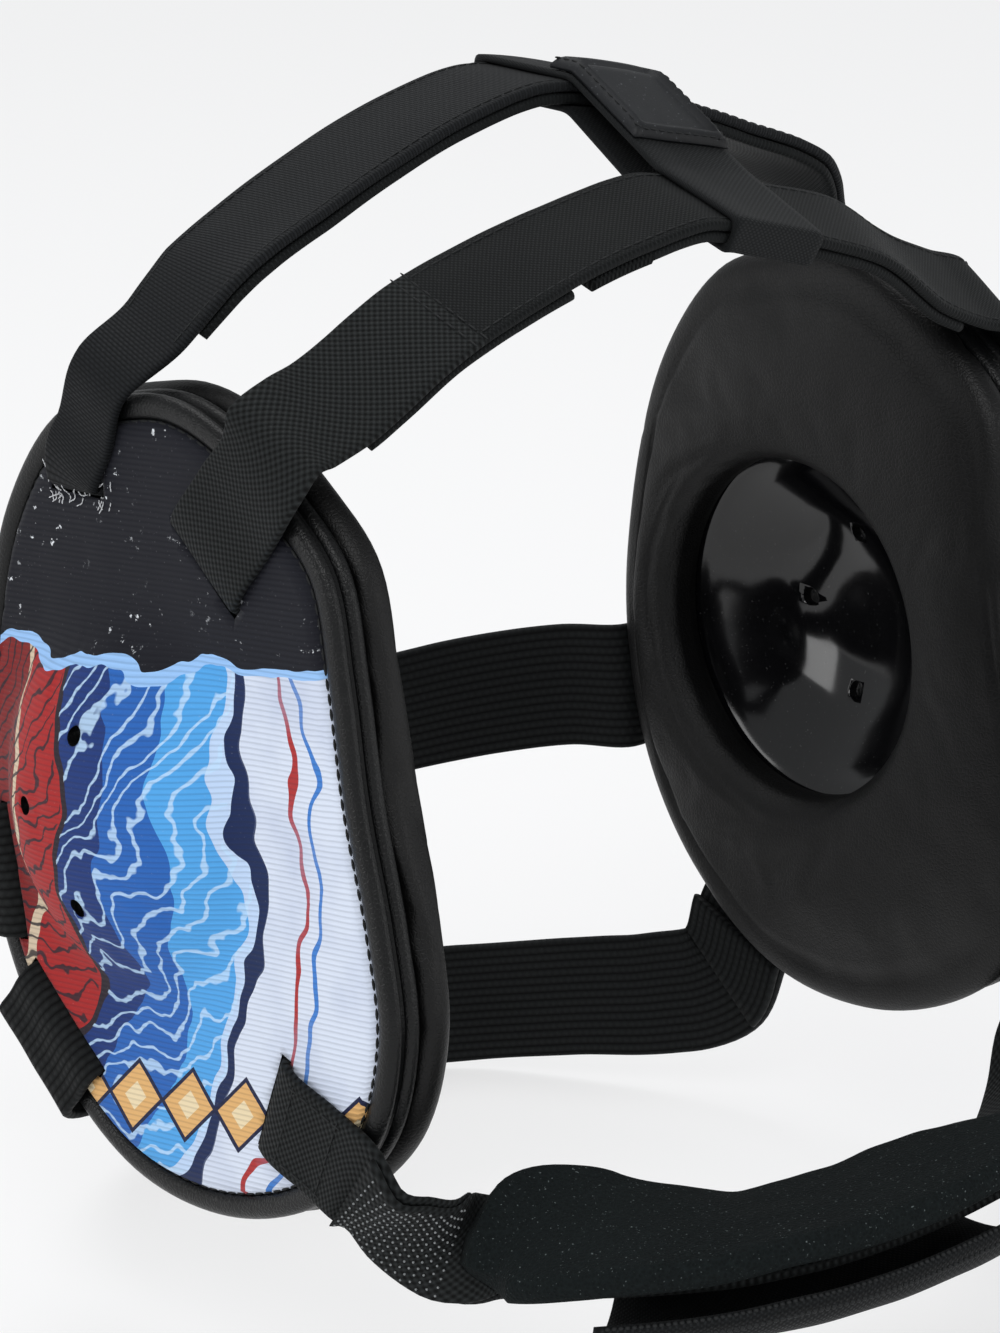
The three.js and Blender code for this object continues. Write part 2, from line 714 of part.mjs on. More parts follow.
// The rubber patch on the top run of the cross band, bending with it.
function patchGeometry() {
  const grow = crossBandThickness + 2 * clearance;
  const lines = bandOffsets.map((offset) => {
    const place = crossBandOffset + (offset * patchWidth) / crossBandWidth;
    return crossBandRing(place, grow).slice(1, 5);
  });
  const reach = [0];
  const middle = lines[2];
  middle.slice(1).forEach((point, i) => reach.push(reach[i] + point.distanceTo(middle[i])));
  const ends = [patchFromRear, patchFromRear + patchLength];
  const inside = reach.filter((distance) => distance > ends[0] && distance < ends[1]);
  const rings = [ends[0], ...inside, ends[1]].map((distance) => {
    const next = reach.findIndex((length) => length > distance);
    const share = (distance - reach[next - 1]) / (reach[next] - reach[next - 1]);
    const under = lines.map((line) => line[next - 1].clone().lerp(line[next], share));
    const along = middle[next].clone().sub(middle[next - 1]);
    const out = along.cross(under.at(-1).clone().sub(under[0])).normalize();
    out.multiplyScalar(Math.sign(out.z) * patchThickness);
    return [...under, ...under.map((point) => point.clone().add(out)).reverse()];
  });
  return solidFromRings(rings, [middleOf(rings[0]), middleOf(rings.at(-1))]);
}

// The folded end of the lower elastic, against its inner face by the left cup.
function elasticLapGeometry() {
  const outer = -elasticFace - clearance;
  const run = pathSlice(lowerElasticPath, ...lapEnds);
  return layerGeometry(run, elasticWidth, outer - elasticThickness, outer);
}

function hookPatchGeometry() {
  const inner = webbingTop + clearance;
  const run = pathSlice(chinPath, ...hookPatchEnds);
  return layerGeometry(run, chinWebbingWidth, inner, inner + hookPatchThickness);
}

// The chin pad lies on the outer face of the strap, over the end of the hook patch.
const padUnder = webbingTop + hookPatchThickness + 2 * clearance;

function chinPadGeometry() {
  const tip = 0.14;
  const rings = pathSlice(chinPath, chinPadFrom, chinPadTo).map((section) => {
    const toEnd = Math.min(section.distance - chinPadFrom, chinPadTo - section.distance);
    const share = Math.min(1, tip + ((1 - tip) * toEnd) / chinPadPoint);
    const half = (share * chinPadWidth) / 2;
    const top = padUnder + chinPadThickness;
    const soft = 0.25 * chinPadThickness;
    return [
      sectionPoint(section, -half, padUnder),
      sectionPoint(section, half, padUnder),
      sectionPoint(section, half, top - soft),
      sectionPoint(section, half - soft * share, top),
      sectionPoint(section, -half + soft * share, top),
      sectionPoint(section, -half, top - soft),
    ];
  });
  return solidFromRings(rings, [middleOf(rings[0]), middleOf(rings.at(-1))]);
}

// The sleeve hangs from the rear edge of the pad and holds the strap in its trough; its front
// edge stays open as a slit. Across in shares of the pad's width, down of the sleeve's depth.
const sleeveSection = [
  { across: 0.39, down: 0 },
  { across: 0.38, down: 0.31 },
  { across: 0.33, down: 0.68 },
  { across: 0.11, down: 1 },
  { across: -0.17, down: 1 },
  { across: -0.39, down: 0.72 },
  { across: -0.46, down: 0.4 },
];

function sleeveGeometry() {
  const run = pathSlice(chinPath, ...sleeveEnds);
  const hang = padUnder - 2 * clearance;
  const inner = sleeveSection.map(
    ({ across, down }) => new THREE.Vector2(across * chinPadWidth, hang - down * sleeveDepth),
  );
  const outer = inner.map((point, i) => {
    const before = inner[Math.max(i - 1, 0)];
    const after = inner[Math.min(i + 1, inner.length - 1)];
    const way = after.clone().sub(before).normalize();
    const wall = new THREE.Vector2(-way.y, way.x).multiplyScalar(i === 0 ? 0 : sleeveWall);
    return i === 0 ? point.clone().setX(point.x + sleeveWall) : point.clone().add(wall);
  });
  const section = [...inner, ...outer.reverse()];
  const rings = run.map((place) => section.map(({ x, y }) => sectionPoint(place, x, y)));
  return solidFromRings(rings, "strips");
}

const finishes = {
  leather: { color: 0x101214, roughness: 0.45 },
  shell: { color: 0x08090a, roughness: 0.15 },
  print: { color: 0x3f5f96, roughness: 0.8 },
  webbing: { color: 0x0f1211, roughness: 0.75 },
  elastic: { color: 0x131616, roughness: 0.85 },
  foam: { color: 0x15191a, roughness: 0.95 },
  rubber: { color: 0x1a1d20, roughness: 0.6 },
};

function piece(name, geometry, finish) {
  const material = new THREE.MeshStandardMaterial({ metalness: 0, ...finishes[finish] });
  const mesh = new THREE.Mesh(geometry, material);
  mesh.name = name;
  return mesh;
}

const cupPieces = [
  { name: "ear_pad", geometry: padGeometry(), finish: "leather" },
  { name: "piping", geometry: pipingGeometry(), finish: "leather" },
  { name: "ear_shell", geometry: shellGeometry(), finish: "shell" },
  { name: "face_cover", geometry: coverGeometry(), finish: "print" },
];

function cup(label, side) {
  const group = new THREE.Group();
  cupPieces.forEach(({ name, geometry, finish }) => {
    group.add(piece(`${label}_${name}`, geometry, finish));
  });
  group.position.set((side * headWidth) / 2, -earForward, -earDrop);
  group.scale.x = side;
  return group;
}

const earGuard = new THREE.Group();
earGuard.add(cup("right", -1), cup("left", 1));
earGuard.add(
  piece(
    "front_crown_strap",
    layerGeometry(wholeOf(frontCrownPath), frontWebbingWidth, -webbingTop, webbingTop),
    "webbing",
  ),
  piece(
    "rear_crown_strap",
    layerGeometry(wholeOf(rearCrownPath), rearWebbingWidth, -webbingTop, webbingTop),
    "webbing",
  ),
  piece(
    "upper_back_elastic",
    layerGeometry(wholeOf(upperElasticPath), elasticWidth, -elasticFace, elasticFace),
    "elastic",
  ),
  piece(
    "lower_back_elastic",
    layerGeometry(wholeOf(lowerElasticPath), elasticWidth, -elasticFace, elasticFace),
    "elastic",
  ),
  piece(
    "chin_strap",
    layerGeometry(wholeOf(chinPath), chinWebbingWidth, -webbingTop, webbingTop),
    "webbing",
  ),
  piece(
    "front_strap_right_lining",
    liningGeometry(frontCrownPath, frontWebbingWidth, frontEnds.rightLining, webbingThickness),
    "webbing",
  ),
  piece(
    "front_strap_loop_patch",
    liningGeometry(frontCrownPath, frontWebbingWidth, frontEnds.loopPatch, loopPatchThickness),
    "webbing",
  ),
  piece(
    "front_strap_left_lining",
    liningGeometry(frontCrownPath, frontWebbingWidth, frontEnds.leftLining, webbingThickness),
    "webbing",
  ),
  piece(
    "rear_strap_lining",
    liningGeometry(rearCrownPath, rearWebbingWidth, rearEnds, webbingThickness),
    "webbing",
  ),
  piece("cross_band", crossBandGeometry(), "webbing"),
  piece("cross_band_patch", patchGeometry(), "rubber"),
  piece("lower_elastic_lap", elasticLapGeometry(), "elastic"),
  piece("chin_hook_patch", hookPatchGeometry(), "webbing"),
  piece("chin_pad", chinPadGeometry(), "foam"),
  piece("chin_sleeve", sleeveGeometry(), "webbing"),
);

export default earGuard;
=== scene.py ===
import math
import random
from functools import partial

import bmesh
import bpy
import numpy as np
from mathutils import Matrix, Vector, noise


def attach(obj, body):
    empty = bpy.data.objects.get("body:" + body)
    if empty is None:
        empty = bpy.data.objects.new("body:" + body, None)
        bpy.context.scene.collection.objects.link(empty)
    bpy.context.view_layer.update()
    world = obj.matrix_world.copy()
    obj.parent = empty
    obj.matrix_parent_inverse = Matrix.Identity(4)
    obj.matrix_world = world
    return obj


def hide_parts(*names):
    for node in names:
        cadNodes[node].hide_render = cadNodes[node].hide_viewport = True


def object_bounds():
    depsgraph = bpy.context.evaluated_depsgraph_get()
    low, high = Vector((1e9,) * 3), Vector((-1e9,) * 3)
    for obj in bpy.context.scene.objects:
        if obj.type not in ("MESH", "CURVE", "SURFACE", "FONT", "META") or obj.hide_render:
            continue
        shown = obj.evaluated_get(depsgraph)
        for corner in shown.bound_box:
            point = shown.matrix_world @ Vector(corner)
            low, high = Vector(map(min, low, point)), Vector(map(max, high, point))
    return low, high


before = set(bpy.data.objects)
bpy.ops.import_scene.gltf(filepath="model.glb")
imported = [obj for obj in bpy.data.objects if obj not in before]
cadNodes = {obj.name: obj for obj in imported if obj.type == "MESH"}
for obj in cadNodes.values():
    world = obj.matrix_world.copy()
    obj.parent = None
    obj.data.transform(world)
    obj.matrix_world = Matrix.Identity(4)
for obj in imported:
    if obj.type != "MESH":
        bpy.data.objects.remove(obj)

cadLow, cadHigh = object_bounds()
print("frame loaded:", len(cadNodes), "nodes")


def show(item):
    bpy.context.scene.collection.objects.link(item)


# the mesh that an object has after its modifiers, in place of the object
def evaluatedMesh(item, name):
    bpy.context.view_layer.update()
    evaluated = item.evaluated_get(bpy.context.evaluated_depsgraph_get())
    mesh = bpy.data.meshes.new_from_object(evaluated)
    mesh.name = name
    bpy.data.objects.remove(item)
    return mesh


# a mesh from rows of points, every row closed on itself; looped rows close as well
def meshFromGrid(name, grid, marks, looped=False):
    grid = np.asarray(grid, float)
    rows, cols = grid.shape[:2]
    faces = []
    for r in range(rows if looped else rows - 1):
        n = (r + 1) % rows
        for c in range(cols):
            d = (c + 1) % cols
            faces.append((r * cols + c, r * cols + d, n * cols + d, n * cols + c))
    if not looped:
        faces.append(tuple(range(cols))[::-1])
        faces.append(tuple((rows - 1) * cols + c for c in range(cols)))
    mesh = bpy.data.meshes.new(name)
    mesh.from_pydata(grid.reshape(-1, 3).tolist(), [], faces)
    flat = np.asarray(marks, float).reshape(-1, 2)
    corners = np.empty(len(mesh.loops), np.int32)
    mesh.loops.foreach_get("vertex_index", corners)
    layer = mesh.uv_layers.new(name="weave")
    layer.data.foreach_set("uv", flat[corners].ravel())
    faceOutwards(mesh)
    return mesh


def faceOutwards(mesh):
    work = bmesh.new()
    work.from_mesh(mesh)
    bmesh.ops.recalc_face_normals(work, faces=work.faces)
    work.to_mesh(mesh)
    work.free()
    mesh.shade_smooth()


def addPiece(name, mesh, finishes, stands=()):
    piece = bpy.data.objects.new(name, mesh)
    show(piece)
    for finish in finishes:
        mesh.materials.append(finish)
    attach(piece, "root")
    if stands:
        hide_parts(*stands)
    return piece


# a smooth run through uneven knots
def smoothAlong(knots, values, places):
    gaps = np.diff(knots)
    steps = np.diff(values, axis=0) / gaps[:, None]
    slopes = np.empty_like(values)
    before, after = gaps[:-1, None], gaps[1:, None]
    slopes[1:-1] = (steps[:-1] * after + steps[1:] * before) / (before + after)
    slopes[0], slopes[-1] = steps[0], steps[-1]
    i = np.clip(np.searchsorted(knots, places, side="right") - 1, 0, len(gaps) - 1)
    h = gaps[i][:, None]
    t = (places - knots[i])[:, None] / h
    start, end = values[i], values[i + 1]
    out, into = slopes[i] * h, slopes[i + 1] * h
    return ((2 * t**3 - 3 * t**2 + 1) * start + (t**3 - 2 * t**2 + t) * out
            + (3 * t**2 - 2 * t**3) * end + (t**3 - t**2) * into)


# the distance along a path at each of its points
def runOf(path):
    return np.concatenate([[0], np.cumsum(np.linalg.norm(np.diff(path, axis=0), axis=1))])


def unit(vectors):
    return vectors / np.linalg.norm(vectors, axis=-1, keepdims=True)


# paths of the straps, read from the rings of their CAD nodes

def edgesOf(name):
    work = bmesh.new()
    work.from_mesh(cadNodes[name].data)
    bmesh.ops.remove_doubles(work, verts=work.verts, dist=1e-5)
    work.verts.index_update()
    near = {v.index: [e.other_vert(v).index for e in v.link_edges] for v in work.verts}
    place = {v.index: np.array(v.co) for v in work.verts}
    work.free()
    return near, place


# the middle points that close the two ends of a strap-like node
def endPoints(near, place, count):
    ends = []
    for i, around in near.items():
        if len(around) == count:
            middle = sum(place[j] for j in around) / count
            if np.linalg.norm(middle - place[i]) < 5e-5:
                ends.append(i)
    return sorted(ends, key=lambda i: place[i][0])


def ringOrder(members, near):
    order = [min(members)]
    while len(order) < len(members):
        order.append(next(j for j in near[order[-1]] if j in members and j not in order))
    return order


def ringsOf(name, count=4):
    near, place = edgesOf(name)
    first, last = endPoints(near, place, count)
    ring = ringOrder(set(near[first]), near)
    seen = {first, *ring}
    rings = [np.array([place[i] for i in ring])]
    while True:
        ahead = {j for i in ring for j in near[i]} - seen
        if last in ahead or len(ahead) != count:
            break
        turned = ringOrder(ahead, near)
        turns = [turned[k:] + turned[:k] for k in range(count)]
        turns += [turn[::-1] for turn in turns]
        spots = np.array([place[i] for i in ring])
        ring = min(turns, key=lambda turn: sum(
            np.linalg.norm(place[i] - spot) for i, spot in zip(turn, spots)))
        seen |= ahead
        rings.append(np.array([place[i] for i in ring]))
    return np.array(rings)


# a dense track along a strap: place, side and outer direction, half width, distance
def trackOf(name, looks):
    rings = ringsOf(name)
    wide = np.linalg.norm(rings[:, 1] - rings[:, 0], axis=1).mean()
    narrow = np.linalg.norm(rings[:, 2] - rings[:, 1], axis=1).mean()
    if narrow > wide:
        rings = np.roll(rings, 1, axis=1)
    middle = len(rings) // 2
    out = (rings[:, 2] + rings[:, 3] - rings[:, 0] - rings[:, 1]) / 2
    if out[middle] @ np.array(looks) < 0:
        rings = np.roll(rings, 2, axis=1)
        out = -out
    side = (rings[:, 1] + rings[:, 2] - rings[:, 0] - rings[:, 3]) / 4
    at = rings.mean(axis=1)
    along = at[middle + 1] - at[middle - 1]
    if side[middle] @ np.cross(out[middle], along) < 0:
        side = -side
    knots = runOf(at)
    places = np.linspace(0, knots[-1], max(int(knots[-1] / 0.0008), 2))
    track = {
        "at": smoothAlong(knots, at, places),
        "side": unit(smoothAlong(knots, side, places)),
        "out": unit(smoothAlong(knots, out, places)),
    }
    half = np.linalg.norm(side, axis=1)
    track["half"] = np.interp(places, knots, half)
    track["dist"] = runOf(track["at"])
    return track


def cutTrack(track, start, end, step=0.0014):
    places = np.linspace(start, end, max(int(round((end - start) / step)), 3) + 1)
    part = {"dist": places, "half": np.interp(places, track["dist"], track["half"])}
    for key in ("at", "side", "out"):
        columns = [np.interp(places, track["dist"], column) for column in track[key].T]
        part[key] = np.column_stack(columns)
    part["side"], part["out"] = unit(part["side"]), unit(part["out"])
    return part


def nearestDistance(track, spot):
    return track["dist"][np.argmin(np.linalg.norm(track["at"] - spot, axis=1))]


# from where to where a layer lies along a strap
def spanOf(track, name, count=4):
    near, place = edgesOf(name)
    ends = [nearestDistance(track, place[i]) for i in endPoints(near, place, count)]
    return min(ends), max(ends)


# a flat section with rounded edges, round from its outer to its inner face
def bandSection(half, low, high, soft, lanes):
    middle, lift = (low + high) / 2, (high - low) / 2
    across = np.linspace(soft - half, half - soft, lanes)
    turn = [math.pi * k / 5 for k in range(1, 5)]
    outer = [(x, high) for x in across]
    right = [(half - soft + soft * math.sin(a), middle + lift * math.cos(a)) for a in turn]
    inner = [(x, low) for x in across[::-1]]
    left = [(-half + soft - soft * math.sin(a), middle - lift * math.cos(a)) for a in turn]
    return outer + right + inner + left


def sectionGrid(part, sections):
    grid, marks = [], []
    for r, section in enumerate(sections):
        points = np.array(section)
        grid.append(part["at"][r] + points[:, :1] * part["side"][r] + points[:, 1:] * part["out"][r])
        marks.append([(x, part["dist"][r]) for x, _ in section])
    return grid, marks


webbing = {"lanes": 15, "soft": 0.0007, "wobble": 0.0002, "calmEnds": 0.012}


# webbing lies a little uneven: a slow wobble out of its face and in its width
def bandMesh(name, part, low, high, seed):
    wobble = webbing["wobble"]
    sections = []
    for r, distance in enumerate(part["dist"]):
        width = part["half"][r] + wobble * 0.8 * noise.noise(Vector((distance * 90, seed, 0)))
        section = bandSection(width, low, high, webbing["soft"], webbing["lanes"])
        ends = min(distance - part["dist"][0], part["dist"][-1] - distance)
        calm = min(1.0, ends / webbing["calmEnds"])
        section = [
            (x, y + calm * wobble * noise.noise(Vector((x * 110, distance * 45, seed + 7))))
            for x, y in section
        ]
        sections.append(section)
    grid, marks = sectionGrid(part, sections)
    return meshFromGrid(name, grid, marks)


# node helpers

def newGroup(name, inputs, outputs):
    tree = bpy.data.node_groups.new(name, "ShaderNodeTree")
    for label, kind, value in inputs:
        socket = tree.interface.new_socket(label, in_out="INPUT", socket_type=kind)
        if value is not None:
            socket.default_value = value
    for label, kind in outputs:
        tree.interface.new_socket(label, in_out="OUTPUT", socket_type=kind)
    return tree, tree.nodes.new("NodeGroupInput"), tree.nodes.new("NodeGroupOutput")


def calc(tree, operation, *values, clamp=False):
    node = tree.nodes.new("ShaderNodeMath")
    node.operation = operation
    node.use_clamp = clamp
    for socket, value in zip(node.inputs, values):
        if isinstance(value, (int, float)):
            socket.default_value = value
        else:
            tree.links.new(value, socket)
    return node.outputs[0]


def splitVector(tree, vector):
    node = tree.nodes.new("ShaderNodeSeparateXYZ")
    tree.links.new(vector, node.inputs[0])
    return node.outputs


def noiseOf(tree, vector, scale, detail=3.0, roughness=0.5):
    node = tree.nodes.new("ShaderNodeTexNoise")
    tree.links.new(vector, node.inputs["Vector"])
    if isinstance(scale, (int, float)):
        node.inputs["Scale"].default_value = scale
    else:
        tree.links.new(scale, node.inputs["Scale"])
    node.inputs["Detail"].default_value = detail
    node.inputs["Roughness"].default_value = roughness
    return node.outputs[0]


def mixColor(tree, share, first, second):
    node = tree.nodes.new("ShaderNodeMix")
    node.data_type = "RGBA"
    for socket, value in ((node.inputs[0], share), (node.inputs[6], first), (node.inputs[7], second)):
        if isinstance(value, (int, float)):
            socket.default_value = value
        elif isinstance(value, tuple):
            socket.default_value = (*value, 1)
        else:
            tree.links.new(value, socket)
    return node.outputs[2]


def rangeOf(tree, value, low, high, start=0.0, end=1.0):
    node = tree.nodes.new("ShaderNodeMapRange")
    tree.links.new(value, node.inputs[0])
    for i, number in enumerate((low, high, start, end)):
        node.inputs[i + 1].default_value = number
    return node.outputs[0]


# plain weave of threads over and under each other, with ribs across and cords along the band
def wovenThreadsGroup():
    tree, given, result = newGroup(
        "wovenThreads",
        [("Vector", "NodeSocketVector", None), ("Across Pitch", "NodeSocketFloat", 0.001),
         ("Along Pitch", "NodeSocketFloat", 0.001)],
        [("Weave", "NodeSocketFloat"), ("Ribs", "NodeSocketFloat"), ("Cords", "NodeSocketFloat"),
         ("Fuzz", "NodeSocketFloat")],
    )
    x, y, _ = splitVector(tree, given.outputs["Vector"])
    turnX = calc(tree, "MULTIPLY", calc(tree, "DIVIDE", x, given.outputs["Across Pitch"]), math.pi)
    turnY = calc(tree, "MULTIPLY", calc(tree, "DIVIDE", y, given.outputs["Along Pitch"]), math.pi)
    crossed = calc(tree, "MULTIPLY", calc(tree, "SINE", turnX), calc(tree, "SINE", turnY))
    tree.links.new(calc(tree, "MULTIPLY_ADD", crossed, 0.5, 0.5), result.inputs["Weave"])
    ribs = calc(tree, "ABSOLUTE", calc(tree, "SINE", turnY))
    tree.links.new(ribs, result.inputs["Ribs"])
    tree.links.new(calc(tree, "ABSOLUTE", calc(tree, "SINE", turnX)), result.inputs["Cords"])
    tree.links.new(noiseOf(tree, given.outputs["Vector"], 2600.0, 2.0), result.inputs["Fuzz"])
    return tree


def leatherGrainGroup():
    tree, given, result = newGroup(
        "leatherGrain",
        [("Vector", "NodeSocketVector", None), ("Pores", "NodeSocketFloat", 900.0)],
        [("Height", "NodeSocketFloat"), ("Tone", "NodeSocketFloat")],
    )
    cells = tree.nodes.new("ShaderNodeTexVoronoi")
    cells.feature = "DISTANCE_TO_EDGE"
    tree.links.new(given.outputs["Vector"], cells.inputs["Vector"])
    tree.links.new(given.outputs["Pores"], cells.inputs["Scale"])
    pores = rangeOf(tree, cells.outputs["Distance"], 0.0, 0.18)
    creases = noiseOf(tree, given.outputs["Vector"], 160.0, 4.0)
    tree.links.new(calc(tree, "MULTIPLY_ADD", creases, 0.8, pores), result.inputs["Height"])
    tree.links.new(noiseOf(tree, given.outputs["Vector"], 38.0, 5.0, 0.6), result.inputs["Tone"])
    return tree


# lint and rubbed patches, more of both where a face looks up
def wearAndDustGroup():
    tree, given, result = newGroup(
        "wearAndDust",
        [("Vector", "NodeSocketVector", None), ("Amount", "NodeSocketFloat", 0.5)],
        [("Lint", "NodeSocketFloat"), ("Rubbed", "NodeSocketFloat")],
    )
    specks = noiseOf(tree, given.outputs["Vector"], 1900.0, 1.0)
    upwards = splitVector(tree, tree.nodes.new("ShaderNodeNewGeometry").outputs["Normal"])[2]
    lint = rangeOf(tree, specks, 0.70, 0.79)
    lying = calc(tree, "MULTIPLY_ADD", upwards, 0.4, 0.6, clamp=True)
    amount = calc(tree, "MULTIPLY", given.outputs["Amount"], lying)
    tree.links.new(calc(tree, "MULTIPLY", lint, amount), result.inputs["Lint"])
    rubbed = rangeOf(tree, noiseOf(tree, given.outputs["Vector"], 24.0, 6.0, 0.62), 0.42, 0.68)
    tree.links.new(calc(tree, "MULTIPLY", rubbed, amount), result.inputs["Rubbed"])
    return tree


wovenThreads = wovenThreadsGroup()
leatherGrain = leatherGrainGroup()
wearAndDust = wearAndDustGroup()


def newFinish(name, roughness, specular, sheen=0.0):
    finish = bpy.data.materials.new(name)
    finish.use_nodes = True
    tree = finish.node_tree
    shader = tree.nodes["Principled BSDF"]
    shader.inputs["Roughness"].default_value = roughness
    shader.inputs["Specular IOR Level"].default_value = specular
    shader.inputs["Sheen Weight"].default_value = sheen
    return finish, tree, shader


def placeGroup(tree, group, vector, **values):
    node = tree.nodes.new("ShaderNodeGroup")
    node.node_tree = group
    tree.links.new(vector, node.inputs["Vector"])
    for label, value in values.items():
        node.inputs[label.replace("_", " ")].default_value = value
    return node.outputs


def weaveMap(tree):
    mapped = tree.nodes.new("ShaderNodeUVMap")
    mapped.uv_map = "weave"
    return mapped.outputs[0]


# object coordinates, with the lint and the rubbed patches that lie by them
def dusted(tree, amount):
    coords = tree.nodes.new("ShaderNodeTexCoord").outputs["Object"]
    lint, rubbed = placeGroup(tree, wearAndDust, coords, Amount=amount)
    return coords, lint, rubbed


def bumpTo(tree, shader, height, strength, distance):
    bump = tree.nodes.new("ShaderNodeBump")
    bump.inputs["Strength"].default_value = strength
    bump.inputs["Distance"].default_value = distance
    tree.links.new(height, bump.inputs["Height"])
    tree.links.new(bump.outputs[0], shader.inputs["Normal"])


# each cloth's dark and light tones follow its weave height: the dark one is the cloth's black with painted
# shade in the weave's low places, the light one a painted highlight on its raised crowns
clothKeys = ("dark", "light", "across", "along", "ribs", "cords", "bump", "wear", "specular")
clothRows = {
    "coarseWebbing": ((0.0012, 0.0015, 0.0015), (0.014, 0.0165, 0.017),
                      0.00075, 0.0007, 0.0, 0.0, 0.0003, 0.4, 0.16),
    "fineWebbing": ((0.0014, 0.0017, 0.0018), (0.0075, 0.009, 0.0095),
                    0.0005, 0.0005, 0.25, 0.0, 0.00016, 0.5, 0.13),
    "ribbedWebbing": ((0.0014, 0.0017, 0.002), (0.0085, 0.0098, 0.0115),
                      0.0008, 0.0007, 0.7, 0.0, 0.0002, 0.4, 0.14),
    "ribbedElastic": ((0.0012, 0.0014, 0.0015), (0.0085, 0.0098, 0.0102),
                      0.0017, 0.0008, 0.0, 0.75, 0.00035, 0.3, 0.11),
    "twillCloth": ((0.0014, 0.0017, 0.002), (0.009, 0.0105, 0.0115),
                   0.0006, 0.0005, 0.3, 0.0, 0.00016, 0.4, 0.16),
    "loopPile": ((0.0014, 0.0016, 0.0018), (0.010, 0.0115, 0.0115),
                 0.0006, 0.0005, 0.0, 0.0, 0.0006, 0.8, 0.06),
}
clothLooks = {name: dict(zip(clothKeys, row)) for name, row in clothRows.items()}


def clothFinish(name, look):
    finish, tree, shader = newFinish(name, 0.72, look["specular"], 0.02)
    weave, ribs, cords, fuzz = placeGroup(tree, wovenThreads, weaveMap(tree),
                                          Across_Pitch=look["across"], Along_Pitch=look["along"])
    _, lint, rubbed = dusted(tree, look["wear"])
    height = calc(tree, "ADD", calc(tree, "MULTIPLY", weave, 1 - look["ribs"] - look["cords"]),
                  calc(tree, "MULTIPLY", ribs, look["ribs"]))
    height = calc(tree, "MULTIPLY_ADD", cords, look["cords"], height)
    height = calc(tree, "MULTIPLY_ADD", fuzz, 0.25, height)
    # painted shade and highlight: the tone darkens where the weave is low and lightens on its crowns
    tone = mixColor(tree, rangeOf(tree, height, 0.25, 1.15), look["dark"], look["light"])
    tone = mixColor(tree, calc(tree, "MULTIPLY", rubbed, 0.35), tone, (0.013, 0.0145, 0.015))
    tone = mixColor(tree, calc(tree, "MULTIPLY", lint, 0.4), tone, (0.07, 0.075, 0.075))
    tree.links.new(tone, shader.inputs["Base Color"])
    tree.links.new(rangeOf(tree, height, 0.2, 1.2, 0.86, 0.58), shader.inputs["Roughness"])
    bumpTo(tree, shader, height, 0.8, look["bump"])
    return finish


cloths = {name: clothFinish(name, look) for name, look in clothLooks.items()}


def satinLeatherFinish(name, tone, gloss):
    finish, tree, shader = newFinish(name, gloss, 0.26)
    coords, lint, rubbed = dusted(tree, 0.35)
    height, patches = placeGroup(tree, leatherGrain, coords, Pores=1100.0)
    color = mixColor(tree, patches, tuple(0.6 * c for c in tone), tuple(1.5 * c for c in tone))
    color = mixColor(tree, calc(tree, "MULTIPLY", lint, 0.3), color, (0.05, 0.055, 0.055))
    tree.links.new(color, shader.inputs["Base Color"])
    rough = calc(tree, "MULTIPLY_ADD", patches, 0.22, gloss - 0.1)
    tree.links.new(calc(tree, "MULTIPLY_ADD", rubbed, 0.25, rough), shader.inputs["Roughness"])
    bumpTo(tree, shader, height, 0.35, 0.00012)
    return finish


borderLeather = satinLeatherFinish("borderLeather", (0.0022, 0.0024, 0.0026), 0.34)
padLeather = satinLeatherFinish("padLeather", (0.0014, 0.0014, 0.0015), 0.46)


def glossShellFinish():
    finish, tree, shader = newFinish("glossShell", 0.12, 0.5)
    coords, lint, rubbed = dusted(tree, 0.5)
    tree.links.new(mixColor(tree, lint, (0.0025, 0.0025, 0.003), (0.12, 0.12, 0.12)),
                   shader.inputs["Base Color"])
    tree.links.new(rangeOf(tree, rubbed, 0.0, 0.5, 0.08, 0.22), shader.inputs["Roughness"])
    bumpTo(tree, shader, noiseOf(tree, coords, 60.0), 0.12, 0.0004)
    return finish


def foamFinish(name, tone, pores):
    finish, tree, shader = newFinish(name, 0.95, 0.12)
    coords, lint, rubbed = dusted(tree, 1.0)
    cells = tree.nodes.new("ShaderNodeTexVoronoi")
    tree.links.new(coords, cells.inputs["Vector"])
    cells.inputs["Scale"].default_value = pores
    # painted shade: the foam is darker in the pits of its cells, where the same distance sinks the bump
    color = mixColor(tree, cells.outputs["Distance"], tone, tuple(2.4 * c for c in tone))
    color = mixColor(tree, calc(tree, "MULTIPLY", rubbed, 0.3), color, tuple(3 * c for c in tone))
    color = mixColor(tree, calc(tree, "MULTIPLY", lint, 0.8), color, (0.16, 0.19, 0.19))
    tree.links.new(color, shader.inputs["Base Color"])
    bumpTo(tree, shader, cells.outputs["Distance"], 0.7, 0.0004)
    return finish


def rubberFinish():
    finish, tree, shader = newFinish("mattRubber", 0.5, 0.25)
    coords, lint, rubbed = dusted(tree, 0.7)
    color = mixColor(tree, rubbed, (0.0035, 0.004, 0.005), (0.014, 0.0155, 0.018))
    tree.links.new(mixColor(tree, lint, color, (0.15, 0.16, 0.17)), shader.inputs["Base Color"])
    tree.links.new(calc(tree, "MULTIPLY_ADD", rubbed, 0.3, 0.42), shader.inputs["Roughness"])
    bumpTo(tree, shader, noiseOf(tree, coords, 2200.0), 0.2, 0.0001)
    return finish


def threadFinish(name, tone):
    finish, tree, shader = newFinish(name, 0.7, 0.3)
    coords = tree.nodes.new("ShaderNodeTexCoord").outputs["Object"]
    strands = noiseOf(tree, coords, 3200.0)
    tree.links.new(mixColor(tree, strands, tuple(0.6 * c for c in tone), tuple(1.4 * c for c in tone)),
                   shader.inputs["Base Color"])
    bumpTo(tree, shader, strands, 0.4, 0.0001)
    return finish


